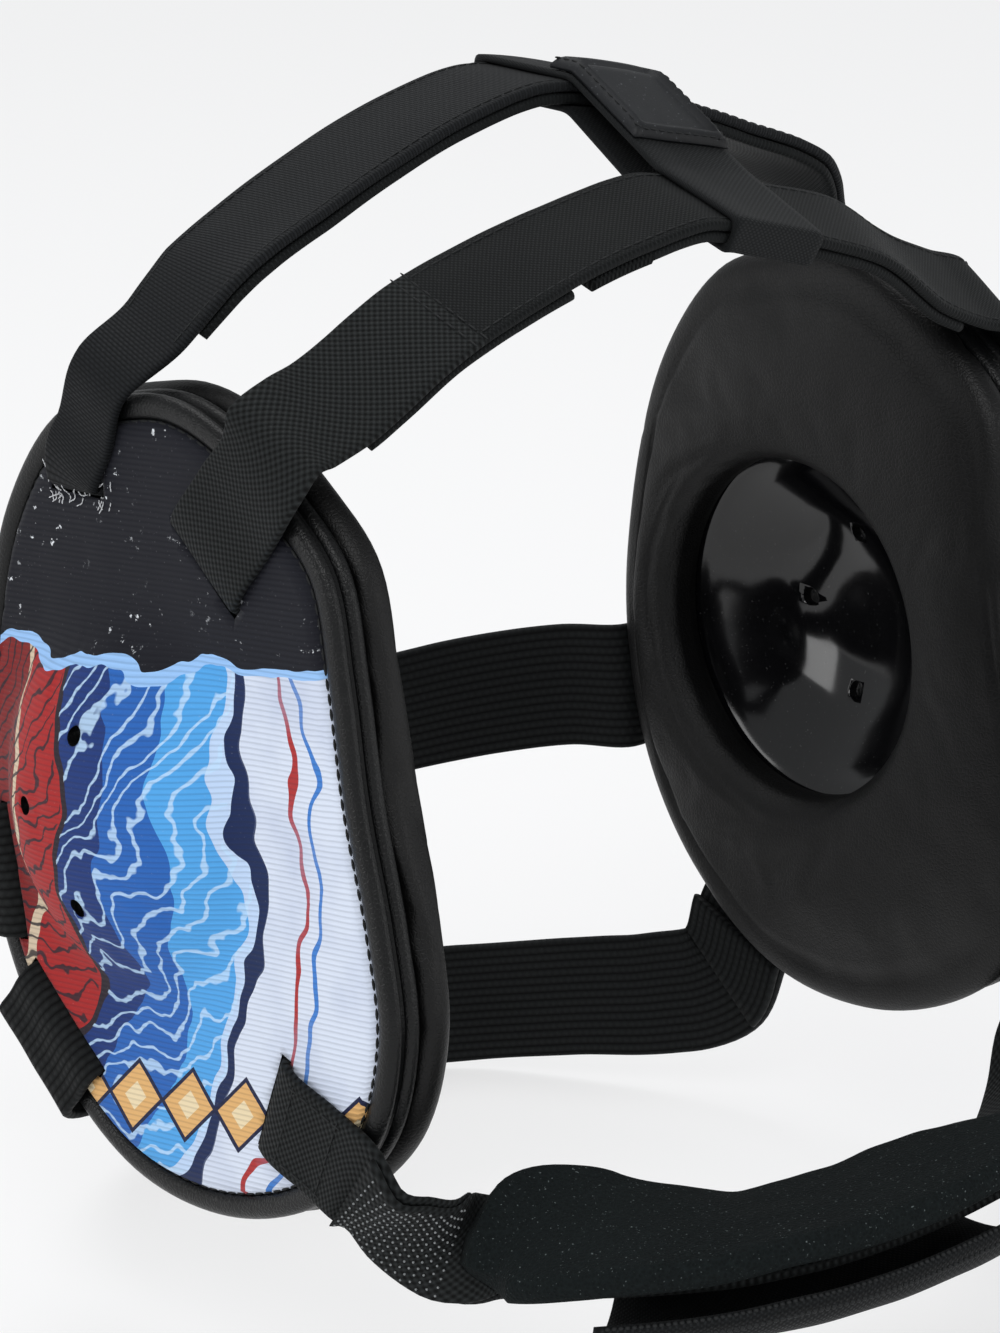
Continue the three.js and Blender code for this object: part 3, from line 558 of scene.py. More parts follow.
glossShell = glossShellFinish()
chinFoam = foamFinish("chinFoam", (0.0030, 0.0042, 0.0044), 1500.0)
mattRubber = rubberFinish()
darkThread = threadFinish("darkThread", (0.008, 0.009, 0.0095))
paleThread = threadFinish("paleThread", (0.55, 0.56, 0.58))
hookDot = threadFinish("hookDot", (0.20, 0.21, 0.215))


# the printed cover: arcs of colour from the back, a dark speckled top, a row of diamonds
coverPrint = {
    "arcCentre": (0.074, -0.004), "reach": 0.15, "redEnd": 0.068, "blueFrom": 0.070,
    "blueTo": 0.1045, "groundFrom": 0.1075, "sway": 0.020, "swayNoise": 42.0,
    "strokes": 74.0, "strokeDrift": 16.0, "strokeNoise": 70.0, "strokeBend": 0.35,
    "paleStroke": (0.50, 0.70, 0.92), "darkStroke": (0.015, 0.012, 0.02),
    "shadeNoise": 55.0, "shade": (0.36, 0.42, 0.60),
    "diamondRow": -0.0555, "diamondHalf": 0.0068, "diamondPitch": 0.0150, "diamondRim": 0.0012,
    "rimTone": (0.010, 0.014, 0.05), "diamondTone": (0.72, 0.42, 0.16), "coreTone": (0.80, 0.66, 0.42),
    "topEdge": 0.030, "topSway": 0.030, "topNoise": 30.0, "topSlant": -0.18, "topLine": 0.0022,
    "lineTone": (0.30, 0.52, 0.86), "night": (0.003, 0.0035, 0.008),
    "speckNoise": 420.0, "groupNoise": 48.0, "speckTone": (0.75, 0.78, 0.82),
    "ribPitch": 0.00105, "ribSlant": 0.12, "ribShade": (0.012, 0.014, 0.02),
}
# how far from the centre each colour starts
coverArcs = [
    (0.0, (0.20, 0.012, 0.012)), (0.050, (0.62, 0.50, 0.36)), (0.0525, (0.36, 0.016, 0.016)),
    (0.068, (0.02, 0.012, 0.02)), (0.070, (0.010, 0.035, 0.17)), (0.080, (0.02, 0.12, 0.44)),
    (0.092, (0.08, 0.36, 0.76)), (0.102, (0.50, 0.64, 0.86)), (0.1045, (0.008, 0.020, 0.08)),
    (0.1075, (0.66, 0.72, 0.84)), (0.119, (0.40, 0.03, 0.03)), (0.1205, (0.66, 0.72, 0.84)),
    (0.124, (0.05, 0.20, 0.58)), (0.1252, (0.66, 0.72, 0.84)),
]


def arcRamp(tree, far):
    ramp = tree.nodes.new("ShaderNodeValToRGB")
    ramp.color_ramp.interpolation = "CONSTANT"
    tree.links.new(calc(tree, "DIVIDE", far, coverPrint["reach"]), ramp.inputs[0])
    stops = ramp.color_ramp.elements
    while len(stops) < len(coverArcs):
        stops.new(1.0)
    for stop, (place, color) in zip(stops, coverArcs):
        stop.position = place / coverPrint["reach"]
        stop.color = (*color, 1)
    return ramp.outputs[0]


def coverPrintFinish():
    look = coverPrint
    finish, tree, shader = newFinish("coverPrint", 0.8, 0.22, 0.05)
    add, less, times, scaled, size, above, below = (partial(calc, tree, operation) for operation in (
        "ADD", "SUBTRACT", "MULTIPLY", "MULTIPLY_ADD", "ABSOLUTE", "GREATER_THAN", "LESS_THAN"))
    mix, cloudy, spread = partial(mixColor, tree), partial(noiseOf, tree), partial(rangeOf, tree)
    uv = weaveMap(tree)
    x, y, _ = splitVector(tree, uv)
    awayX, awayY = less(x, look["arcCentre"][0]), less(y, look["arcCentre"][1])
    far = calc(tree, "SQRT", add(times(awayX, awayX), times(awayY, awayY)))
    far = add(far, scaled(cloudy(uv, look["swayNoise"], 2.0), look["sway"], -look["sway"] / 2))
    art = arcRamp(tree, far)
    # fine drawn strokes inside the arcs, lighter in the blue and darker in the red
    angle = calc(tree, "ARCTAN2", awayY, awayX)
    bent = scaled(cloudy(uv, look["strokeNoise"], 3.0), look["strokeBend"], angle)
    stroke = calc(tree, "SINE", times(scaled(far, look["strokeDrift"], bent), look["strokes"]))
    thin = spread(stroke, 0.72, 0.9)
    blues = times(above(far, look["blueFrom"]), below(far, look["blueTo"]))
    art = mix(times(thin, times(blues, 0.75)), art, look["paleStroke"])
    art = mix(times(thin, times(below(far, look["redEnd"]), 0.9)), art, look["darkStroke"])
    # pale shading on the light ground
    soft = times(spread(cloudy(uv, look["shadeNoise"], 4.0), 0.45, 0.7), 0.35)
    art = mix(times(soft, above(far, look["groundFrom"])), art, look["shade"])
    # a row of diamonds along the bottom
    pitch, half = look["diamondPitch"], look["diamondHalf"]
    cell = size(less(calc(tree, "FLOORED_MODULO", scaled(y, 0.18, x), pitch), pitch / 2))
    rise = size(less(scaled(x, 0.16, y), look["diamondRow"]))
    diamond = scaled(rise, 1.05, cell)
    for reach, tone in ((half + look["diamondRim"], look["rimTone"]), (half, look["diamondTone"]),
                        (0.45 * half, look["coreTone"])):
        art = mix(below(diamond, reach), art, tone)
    # the dark top with specks of white, and a pale line under it
    edge = scaled(cloudy(uv, look["topNoise"], 3.0), look["topSway"], look["topEdge"] - look["topSway"] / 2)
    edge = scaled(x, look["topSlant"], edge)
    top = above(y, edge)
    art = mix(times(above(y, less(edge, look["topLine"])), less(1.0, top)), art, look["lineTone"])
    art = mix(top, art, look["night"])
    specks = spread(cloudy(uv, look["speckNoise"], 4.0, 0.7), 0.632, 0.65)
    groups = spread(cloudy(uv, look["groupNoise"], 1.0), 0.46, 0.60)
    art = mix(times(times(specks, groups), top), art, look["speckTone"])
    # ribs of the cloth, with painted shade: darker lines on the same sine that drives the rib bump
    lines = calc(tree, "SINE", times(scaled(x, look["ribSlant"], y), 2 * math.pi / look["ribPitch"]))
    art = mix(spread(lines, 0.1, 1.0, 0.0, 0.22), art, look["ribShade"])
    lint, rubbed = placeGroup(tree, wearAndDust, uv, Amount=0.4)
    art = mix(times(lint, 0.4), art, (0.6, 0.62, 0.65))
    tree.links.new(art, shader.inputs["Base Color"])
    tree.links.new(scaled(rubbed, 0.2, 0.72), shader.inputs["Roughness"])
    bumpTo(tree, shader, lines, 0.45, 0.00012)
    return finish


printedCloth = coverPrintFinish()
print("finishes built")


# stitches, threads and dots: one tree of nodes each

# the shared part: beads laid on points, made real and given the thread's material
def beadTree(name, numbers):
    tree = bpy.data.node_groups.new(name, "GeometryNodeTree")
    socket = tree.interface.new_socket
    socket("Geometry", in_out="INPUT", socket_type="NodeSocketGeometry")
    for label, value in numbers.items():
        socket(label, in_out="INPUT", socket_type="NodeSocketFloat").default_value = value
    socket("Thread", in_out="INPUT", socket_type="NodeSocketMaterial")
    socket("Geometry", in_out="OUTPUT", socket_type="NodeSocketGeometry")
    make, link = tree.nodes.new, tree.links.new
    given, result = make("NodeGroupInput"), make("NodeGroupOutput")
    laid = make("GeometryNodeInstanceOnPoints")
    real = make("GeometryNodeRealizeInstances")
    painted = make("GeometryNodeSetMaterial")
    link(laid.outputs[0], real.inputs[0])
    link(real.outputs[0], painted.inputs["Geometry"])
    link(given.outputs["Thread"], painted.inputs["Material"])
    link(painted.outputs[0], result.inputs[0])
    return tree, given.outputs, laid.inputs


def stitchTree():
    tree, given, laid = beadTree(
        "stitchRow", {"Pitch": 0.003, "Stitch Length": 0.0022, "Thread Radius": 0.0003})
    make, link = tree.nodes.new, tree.links.new
    curve = make("GeometryNodeMeshToCurve")
    spaced = make("GeometryNodeResampleCurve")
    spaced.mode = "LENGTH"
    link(given["Geometry"], curve.inputs["Mesh"])
    link(curve.outputs["Curve"], spaced.inputs["Curve"])
    link(given["Pitch"], spaced.inputs["Length"])
    bead = make("GeometryNodeMeshUVSphere")
    for label, value in (("Segments", 8), ("Rings", 6), ("Radius", 1.0)):
        bead.inputs[label].default_value = value
    size = make("ShaderNodeCombineXYZ")
    link(given["Thread Radius"], size.inputs[0])
    link(given["Thread Radius"], size.inputs[1])
    link(calc(tree, "MULTIPLY", given["Stitch Length"], 0.5), size.inputs[2])
    turned = make("FunctionNodeAlignRotationToVector")
    turned.axis = "Z"
    link(make("GeometryNodeInputTangent").outputs[0], turned.inputs["Vector"])
    for source, label in ((spaced.outputs[0], "Points"), (bead.outputs["Mesh"], "Instance"),
                          (turned.outputs[0], "Rotation"), (size.outputs[0], "Scale")):
        link(source, laid[label])
    return tree


def dotTree():
    tree, given, laid = beadTree("dotField", {"Dot Radius": 0.0003})
    make, link = tree.nodes.new, tree.links.new
    spots = make("GeometryNodeMeshToPoints")
    bead = make("GeometryNodeMeshIcoSphere")
    bead.inputs["Subdivisions"].default_value = 2
    link(given["Dot Radius"], bead.inputs["Radius"])
    link(given["Geometry"], spots.inputs["Mesh"])
    link(spots.outputs[0], laid["Points"])
    link(bead.outputs["Mesh"], laid["Instance"])
    return tree


stitchRow = stitchTree()
dotField = dotTree()


# bakes a tree over lines of points into one plain piece
def bakedPiece(name, tree, lines, values):
    points, edges = [], []
    for line in lines:
        first = len(points)
        points += [tuple(point) for point in line]
        edges += [(first + i, first + i + 1) for i in range(len(line) - 1)]
    mesh = bpy.data.meshes.new(name + "Lines")
    mesh.from_pydata(points, edges, [])
    guide = bpy.data.objects.new(name + "Lines", mesh)
    show(guide)
    modifier = guide.modifiers.new("lay", "NODES")
    modifier.node_group = tree
    for item in tree.interface.items_tree:
        if item.item_type == "SOCKET" and item.in_out == "INPUT" and item.name in values:
            modifier[item.identifier] = values[item.name]
    baked = evaluatedMesh(guide, name)
    baked.shade_smooth()
    addPiece(name, baked, [] if baked.materials else [values["Thread"]])


def threadOf(pitch, length, radius, thread):
    return {"Pitch": pitch, "Stitch Length": length, "Thread Radius": radius, "Thread": thread}


# ear cups

cup = {
    "halfHead": 0.075, "centreBack": -0.0025, "centreUp": -0.120, "width": 0.120, "height": 0.154,
    "padThickness": 0.008, "padBack": 0.0096, "ledge": 0.0055,
    "holeHalfWidth": 0.034, "holeHalfHeight": 0.035,
    "pipingOut": 0.0101, "pipingInset": 0.0026, "pipingAcross": 0.0023, "pipingThick": 0.0018,
    "shellBack": 0.0099, "shellFace": 0.0119, "coverBack": 0.0122, "coverFace": 0.0158,
    "domeRadius": 0.035, "domeRise": 0.015, "domeSetBack": 0.003, "border": 0.0052,
    "ventRadius": 0.0018, "ventUp": 0.0165, "ventBack": 0.014, "around": 160,
}
cupOutline = [
    (0.042, 0.506), (-0.067, 0.519), (-0.183, 0.5), (-0.333, 0.435), (-0.433, 0.364), (-0.475, 0.24),
    (-0.508, 0.097), (-0.558, -0.045), (-0.583, -0.175), (-0.533, -0.312), (-0.383, -0.422),
    (-0.167, -0.481), (0.05, -0.468), (0.233, -0.377), (0.358, -0.24), (0.417, -0.052), (0.4, 0.13),
    (0.333, 0.325), (0.2, 0.461),
]
# slots: back, up, turn in degrees, strap width, strap thickness
cupSlots = [(-0.167, 0.331, 128, 0.022, 0.002), (0.138, 0.378, 86, 0.015, 0.002),
            (0.318, -0.136, -11, 0.026, 0.002), (0.19, -0.3, -50, 0.026, 0.002),
            (-0.312, -0.3, 200, 0.020, 0.002)]


def denseOutline():
    table = np.array(cupOutline) * (cup["width"], cup["height"])
    padded = np.vstack([table[-3:], table, table[:4]])
    knots = np.concatenate([[0], np.cumsum(np.linalg.norm(np.diff(padded, axis=0), axis=1) ** 0.5)])
    fine = smoothAlong(knots, padded, np.linspace(knots[3], knots[-4], 2400))
    reach = runOf(fine)
    spots = np.linspace(0, reach[-1], cup["around"] + 1)[:-1]
    return np.column_stack([np.interp(spots, reach, fine[:, k]) for k in range(2)])


outline = denseOutline()
along = unit(np.roll(outline, -1, axis=0) - np.roll(outline, 1, axis=0))
inwards = np.column_stack([-along[:, 1], along[:, 0]])


def rimRing(inset, out):
    return np.column_stack([np.full(len(outline), out), outline + inwards * inset])


def ovalRing(halfWidth, halfHeight, out):
    turn = np.arctan2(outline[:, 1] / halfHeight, (outline[:, 0] - cup["domeSetBack"]) / halfWidth)
    back = cup["domeSetBack"] + halfWidth * np.cos(turn)
    return np.column_stack([np.full(len(outline), out), back, halfHeight * np.sin(turn)])


def blendRing(first, second, share, out):
    ring = first * (1 - share) + second * share
    ring[:, 0] = out
    return ring


domeKnots = np.array([0, 0.34, 0.6, 0.82, 0.97, 1.12])
domeHeights = np.array([[1], [0.93], [0.72], [0.38], [0.1], [0]])


def domeRingsAt(flat, count=18):
    reaches = np.linspace(0.035, 1.12, count)
    heights = smoothAlong(domeKnots, domeHeights, reaches)[:, 0]
    radius = cup["domeRadius"]
    return [ovalRing(reach * radius, reach * radius, flat + height * cup["domeRise"])
            for reach, height in zip(reaches, heights)]


def cupMesh(name, side, rings, looped):
    rings = np.array(rings)
    grid = np.stack([side * (cup["halfHead"] + rings[..., 0]), rings[..., 1] + cup["centreBack"],
                     rings[..., 2] + cup["centreUp"]], axis=-1)
    return meshFromGrid(name, grid, rings[..., 1:], looped)


# soft leather is never quite flat
def softened(ring, amount, seed):
    moved = ring.copy()
    for i, (out, back, up) in enumerate(ring):
        moved[i, 0] += amount * noise.fractal(Vector((back * 60, up * 60, seed)), 0.7, 2.0, 3)
    return moved


padShape = {"roll": 0.0042, "grow": 0.0048, "swell": 0.0008, "welt": 0.0009, "weltAt": 0.09,
            "weltWide": 0.035, "wrinkle": 0.0003, "holeSteps": (0.0062, 0.0078)}


def padRings():
    thick, roll, grow = cup["padThickness"], padShape["roll"], padShape["grow"]
    width, height = cup["holeHalfWidth"], cup["holeHalfHeight"]
    rings = [rimRing(cup["ledge"], cup["padBack"]), rimRing(cup["ledge"], thick)]
    for k in range(13):
        turn = math.pi / 2 - math.pi * k / 12
        rings.append(rimRing(roll * (1 - math.cos(turn)), thick / 2 * (1 + math.sin(turn))))
    outer, inner = rimRing(roll, 0), ovalRing(width + grow, height + grow, 0)
    for k in range(1, 20):
        share = k / 20
        # the face swells over its foam, and dips along the welt near the rim
        swell = -padShape["swell"] * math.sin(math.pi * share) ** 0.7
        away = (share - padShape["weltAt"]) / padShape["weltWide"]
        welt = padShape["welt"] * math.exp(-away ** 2)
        rings.append(softened(blendRing(outer, inner, share, swell + welt), padShape["wrinkle"], 3))
    for k in range(9):
        turn = math.pi / 2 * k / 8
        spread = grow * (1 - math.sin(turn))
        rings.append(ovalRing(width + spread, height + spread, grow * (1 - math.cos(turn))))
    for out in (*padShape["holeSteps"], cup["padBack"]):
        rings.append(ovalRing(width, height, out))
    hole, ledge = rings[-1], rings[0]
    for share in (0.25, 0.5, 0.75):
        rings.append(blendRing(hole, ledge, share, cup["padBack"]))
    return rings


def pipingRings():
    rings = []
    for k in range(14):
        turn = 2 * math.pi * k / 14
        rings.append(rimRing(cup["pipingInset"] + cup["pipingAcross"] * math.cos(turn),
                             cup["pipingOut"] + cup["pipingThick"] * math.sin(turn)))
    return rings


def shellRings():
    top, bottom = domeRingsAt(cup["shellFace"]), domeRingsAt(cup["shellBack"])
    rim = [rimRing(cup["ledge"], cup["shellFace"]), rimRing(cup["ledge"], cup["shellBack"])]
    between = [blendRing(top[-1], rim[0], share, cup["shellFace"]) for share in (0.25, 0.5, 0.75)]
    under = [blendRing(bottom[-1], rim[1], share, cup["shellBack"]) for share in (0.75, 0.5, 0.25)]
    return top + between + rim + under + bottom[::-1]


coverShape = {"groove": 0.0011, "lip": 0.0012, "wrinkle": 0.00022, "edgeIn": 0.0004,
              "edgeDrop": 0.0017, "underIn": 0.0011, "turn": 1.30}


# the face of the cover, its stitched groove, the rolled border and the underside
def coverRings():
    face, back, border = cup["coverFace"], cup["coverBack"], cup["border"]
    look, top, bottom = coverShape, domeRingsAt(face), domeRingsAt(back)
    lip, under = rimRing(border + look["lip"], face), rimRing(look["underIn"], back)
    rings = list(top)
    for k in range(1, 12):
        rings.append(softened(blendRing(top[-1], lip, k / 12, face), look["wrinkle"], 9))
    rings += [rimRing(border + look["lip"], face - 0.0001), rimRing(border + 0.0005, face - 0.0006),
              rimRing(border, face - look["groove"])]
    printed = len(rings)
    roll = (border - look["edgeIn"]) / 2
    for k in range(15):
        turn = math.pi - look["turn"] * math.pi * k / 14
        rings.append(rimRing(look["edgeIn"] + roll + roll * -math.cos(turn),
                             face - look["edgeDrop"] + look["edgeDrop"] * math.sin(turn)))
    rings += [under] + [blendRing(bottom[-1], under, share, back) for share in (0.66, 0.33)]
    return rings + bottom[::-1], printed


# one mesh of all the prisms and drills that go through a cup
def cupCutter(side):
    work = bmesh.new()
    for back, up, turn, width, thick in cupSlots:
        half = np.array([0.012, thick / 2 + 0.0003, width / 2 + 0.0003])
        made = bmesh.ops.create_cube(work, size=2.0)["verts"]
        swing = math.radians(turn)
        for vert in made:
            x, y, z = np.array(vert.co) * half
            y, z = y * math.cos(swing) - z * math.sin(swing), y * math.sin(swing) + z * math.cos(swing)
            out = cup["halfHead"] + (cup["shellBack"] + cup["coverFace"]) / 2 + x
            vert.co = (side * out, back * cup["width"] + y + cup["centreBack"],
                       up * cup["height"] + z + cup["centreUp"])
    vents = [(0, cup["ventUp"]), (0, -cup["ventUp"]), (cup["ventBack"], 0), (-cup["ventBack"], 0)]
    for back, up in vents:
        made = bmesh.ops.create_cone(work, cap_ends=True, segments=24, radius1=cup["ventRadius"],
                                     radius2=cup["ventRadius"], depth=0.046)["verts"]
        for vert in made:
            x, y, z = vert.co
            vert.co = (side * (cup["halfHead"] + cup["coverFace"] + cup["domeRise"] + z),
                       y + cup["domeSetBack"] + back + cup["centreBack"], x + up + cup["centreUp"])
    bmesh.ops.recalc_face_normals(work, faces=work.faces)
    mesh = bpy.data.meshes.new("cupCutter")
    work.to_mesh(mesh)
    work.free()
    return mesh


def cutThrough(mesh, cutterMesh, wallFinish):
    blank = bpy.data.objects.new("cutBlank", mesh)
    cutterMesh.materials.append(wallFinish)
    cutter = bpy.data.objects.new("cutTool", cutterMesh)
    for item in (blank, cutter):
        show(item)
    modifier = blank.modifiers.new("cut", "BOOLEAN")
    modifier.operation, modifier.solver, modifier.object = "DIFFERENCE", "EXACT", cutter
    modifier.material_mode = "TRANSFER"
    result = evaluatedMesh(blank, mesh.name)
    bpy.data.objects.remove(cutter)
    return result


# cloth under pressure: the free rows swell over their foam, the held rows stay
cloth = {"pressure": 4.0, "frames": 20, "stiffness": 12.0, "spare": -0.012,
         "padSwell": 0.0011, "coverSwell": 0.0004}


def swellCloth(mesh, heldRows, limit):
    cols = cup["around"]
    blank = bpy.data.objects.new("swellBlank", mesh)
    show(blank)
    group = blank.vertex_groups.new(name="held")
    group.add([row * cols + c for row in heldRows for c in range(cols)], 1.0, "REPLACE")
    modifier = blank.modifiers.new("swell", "CLOTH")
    settings = modifier.settings
    settings.quality = 6
    settings.vertex_group_mass = "held"
    settings.use_pressure = True
    settings.uniform_pressure_force = cloth["pressure"]
    settings.effector_weights.gravity = 0.0
    settings.tension_stiffness = settings.compression_stiffness = cloth["stiffness"]
    settings.shrink_min = cloth["spare"]
    modifier.collision_settings.use_collision = False
    modifier.point_cache.frame_end = cloth["frames"]
    scene = bpy.context.scene
    for step in range(1, cloth["frames"] + 1):
        scene.frame_set(step)
    evaluated = blank.evaluated_get(bpy.context.evaluated_depsgraph_get())
    rest = np.array([vert.co for vert in mesh.vertices])
    moved = np.array([vert.co for vert in evaluated.data.vertices]) - rest
    moved[~np.isfinite(moved).all(axis=1)] = 0
    length = np.linalg.norm(moved, axis=1)
    share = limit * np.tanh(length / limit) / np.maximum(length, 1e-9)
    print("  cloth moved, mm: most", round(float(length.max()) * 1000, 2),
          "kept to", round(float((length * share).max()) * 1000, 2))
    bpy.data.objects.remove(blank)
    mesh.vertices.foreach_set("co", (rest + moved * share[:, None]).astype(np.float32).ravel())
    mesh.update()
    scene.frame_set(1)


def buildCup(label, side):
    cutter = cupCutter(side)
    pad = cupMesh(label + "EarPad", side, padRings(), True)
    padRows = len(padRings())
    swellCloth(pad, [*range(3), *range(padRows - 8, padRows)], cloth["padSwell"])
    addPiece(label + "EarPad", pad, [padLeather], [label + "_ear_pad"])
    addPiece(label + "Piping", cupMesh(label + "Piping", side, pipingRings(), True), [borderLeather],
             [label + "_piping"])
    shell = cupMesh(label + "EarShell", side, shellRings(), False)
    shell.materials.append(glossShell)
    shell = cutThrough(shell, cutter.copy(), glossShell)
    addPiece(label + "EarShell", shell, [], [label + "_ear_shell"])
    rings, printed = coverRings()
    cover = cupMesh(label + "FaceCover", side, rings, False)
    rows, cols = len(rings), cup["around"]
    swellCloth(cover, range(printed - 2, rows), cloth["coverSwell"])
    for finish in (printedCloth, borderLeather):
        cover.materials.append(finish)
    for face in cover.polygons:
        row = min(face.vertices) // cols
        face.material_index = 1 if printed - 1 <= row < rows - 1 else 0
    cover = cutThrough(cover, cutter, borderLeather)
    addPiece(label + "FaceCover", cover, [], [label + "_face_cover"])
    stitched = [(side * (cup["halfHead"] + out), back + cup["centreBack"], up + cup["centreUp"])
                for out, back, up in rimRing(cup["border"] + 0.0002, cup["coverFace"] - 0.0009)]
    bakedPiece(label + "CoverStitches", stitchRow, [stitched + stitched[:1]],
               threadOf(0.0027, 0.0023, 0.00028, darkThread))
    print("cup built:", label)


buildCup("right", -1)
buildCup("left", 1)


# straps over the head

frontTrack = trackOf("front_crown_strap", (0, -0.28, 1))
rearTrack = trackOf("rear_crown_strap", (0, 0, 1))
upperTrack = trackOf("upper_back_elastic", (0, 1, 0))
lowerTrack = trackOf("lower_back_elastic", (0, 1, 0))
chinTrack = trackOf("chin_strap", (0, 0, 1))
strap = {"half": 0.001, "gap": 0.0003, "meshEnd": 0.079, "patchThick": 0.0026, "lining": 0.002,
         "hookThick": 0.0016, "threadLift": 0.00005, "seamHalf": 0.0102, "edgeInset": 0.0018,
         "chinBox": (0.012, 0.024), "chinBoxHalf": 0.0078}
print("tracks read:", [round(float(track["dist"][-1]), 3) for track in
                       (frontTrack, rearTrack, upperTrack, lowerTrack, chinTrack)])


# a strap of one cloth, or of a second cloth from where its mesh ends
def wholeBand(name, track, stands, looks, seed):
    part = cutTrack(track, 0, track["dist"][-1])
    mesh = bandMesh(name, part, -strap["half"], strap["half"], seed)
    addPiece(name, mesh, [cloths[look] for look in looks], [stands])
    if len(looks) > 1:
        cols = 2 * webbing["lanes"] + 8
        for face in mesh.polygons:
            row = min(min(face.vertices) // cols, len(part["dist"]) - 1)
            face.material_index = 0 if part["dist"][row] < strap["meshEnd"] else 1


for seed, (name, track, stands, looks) in enumerate((
        ("frontCrownStrap", frontTrack, "front_crown_strap", ["coarseWebbing", "fineWebbing"]),
        ("rearCrownStrap", rearTrack, "rear_crown_strap", ["ribbedWebbing"]),
        ("upperBackElastic", upperTrack, "upper_back_elastic", ["ribbedElastic"]),
        ("lowerBackElastic", lowerTrack, "lower_back_elastic", ["ribbedElastic"]),
        ("chinStrap", chinTrack, "chin_strap", ["coarseWebbing"])), 1):
    wholeBand(name, track, stands, looks, seed)


# a layer on the inner (below) or outer (above) face of a strap
def layerPiece(name, track, stands, thickness, look, above, seed):
    start, end = spanOf(track, stands)
    part = cutTrack(track, start, end)
    low = strap["half"] + strap["gap"] if above else -strap["half"] - strap["gap"] - thickness
    mesh = bandMesh(name, part, low, low + thickness, seed)
    addPiece(name, mesh, [cloths[look]], [stands])


lining, patchThick, hookThick = strap["lining"], strap["patchThick"], strap["hookThick"]
for seed, (name, track, stands, thickness, look, above) in enumerate((
        ("frontStrapRightLining", frontTrack, "front_strap_right_lining", lining, "fineWebbing", False),
        ("frontStrapLeftLining", frontTrack, "front_strap_left_lining", lining, "fineWebbing", False),
        ("frontStrapLoopPatch", frontTrack, "front_strap_loop_patch", patchThick, "loopPile", False),
        ("rearStrapLining", rearTrack, "rear_strap_lining", lining, "fineWebbing", False),
        ("lowerElasticLap", lowerTrack, "lower_elastic_lap", lining, "ribbedElastic", False),
        ("chinHookPatch", chinTrack, "chin_hook_patch", hookThick, "coarseWebbing", True)), 11):
    layerPiece(name, track, stands, thickness, look, above, seed)


# a point on a track: this far along, across from its middle and out of it
def trackPoint(track, distance, across, out):
    spot = cutTrack(track, max(distance - 0.0005, 0), distance + 0.0005, 0.0005)
    return spot["at"][1] + spot["side"][1] * across + spot["out"][1] * out


def lineAcross(track, distance, half, out, count=9):
    return [trackPoint(track, distance, across, out) for across in np.linspace(-half, half, count)]


def lineAlong(track, start, end, across, out, step=0.002):
    places = np.linspace(start, end, max(int((end - start) / step), 2))
    return [trackPoint(track, place, across, out) for place in places]


# the same, but always this far in from one edge of the strap
def lineByEdge(track, start, end, side, inset, out, step=0.002):
    places = np.linspace(start, end, max(int((end - start) / step), 2))
    halves = np.interp(places, track["dist"], track["half"])
    return [trackPoint(track, place, side * (half - inset), out) for place, half in zip(places, halves)]


seam = threadOf(0.0026, 0.0022, 0.00020, darkThread)
top = strap["half"] + strap["threadLift"]
bakedPiece("frontStrapSeam", stitchRow,
           [lineAcross(frontTrack, strap["meshEnd"] + shift, strap["seamHalf"], top)
            for shift in (-0.001, 0.0015)], seam)
bakedPiece("crownStrapEdgeStitches", stitchRow,
           [lineByEdge(track, start, track["dist"][-1] - rest, side, strap["edgeInset"], top)
            for track, start, rest in ((frontTrack, 0.082, 0.03), (rearTrack, 0.045, 0.045))
            for side in (-1, 1)], seam)


# cross band round both crown straps, and its rubber patch

band = {"offset": 0.018, "half": 0.0125, "thick": 0.0012, "gap": 0.0003, "corner": 0.0016, "lanes": 17,
        "rearHalf": 0.0125, "frontHalf": 0.011, "around": 230, "inset": 0.0003,
        "patchFrom": 0.021, "patchLength": 0.026, "patchHalf": 0.012, "patchThick": 0.0022,
        "rimBead": 0.22, "rimAt": 0.16, "rimWide": 0.06, "field": -0.28, "fieldFrom": 0.24,
        "bevel": -0.2, "bevelFrom": 0.84}


# the eight corners round both straps, this far along them and this far off their faces
def bandLoop(place, grow):
    high = strap["half"] + grow
    low = -strap["half"] - strap["gap"] - strap["lining"] - grow
    rear, front = band["rearHalf"], band["frontHalf"]
    plan = [(rearTrack, rear + grow, low), (rearTrack, rear + grow, high), (rearTrack, -rear, high),
            (frontTrack, front, high), (frontTrack, -front - grow, high),
            (frontTrack, -front - grow, low), (frontTrack, front, low), (rearTrack, -rear, low)]
    return [trackPoint(track, track["dist"][-1] / 2 + place, across, out) for track, across, out in plan]


def roundedLoop(corners, radius):
    points = []
    count = len(corners)
    for i, corner in enumerate(corners):
        before, after = corners[i - 1], corners[(i + 1) % count]
        back = min(radius, 0.4 * np.linalg.norm(before - corner))
        ahead = min(radius, 0.4 * np.linalg.norm(after - corner))
        start = corner + unit(before - corner) * back
        end = corner + unit(after - corner) * ahead
        for share in (0, 0.25, 0.5, 0.75, 1):
            points.append((1 - share) ** 2 * start + 2 * share * (1 - share) * corner + share**2 * end)
    return np.array(points)


def loopSamples(points, count):
    closed = np.vstack([points, points[:1]])
    reach = runOf(closed)
    spots = np.linspace(0, reach[-1], count + 1)[:-1]
    spread = np.column_stack([np.interp(spots, reach, closed[:, k]) for k in range(3)])
    return spread, spots


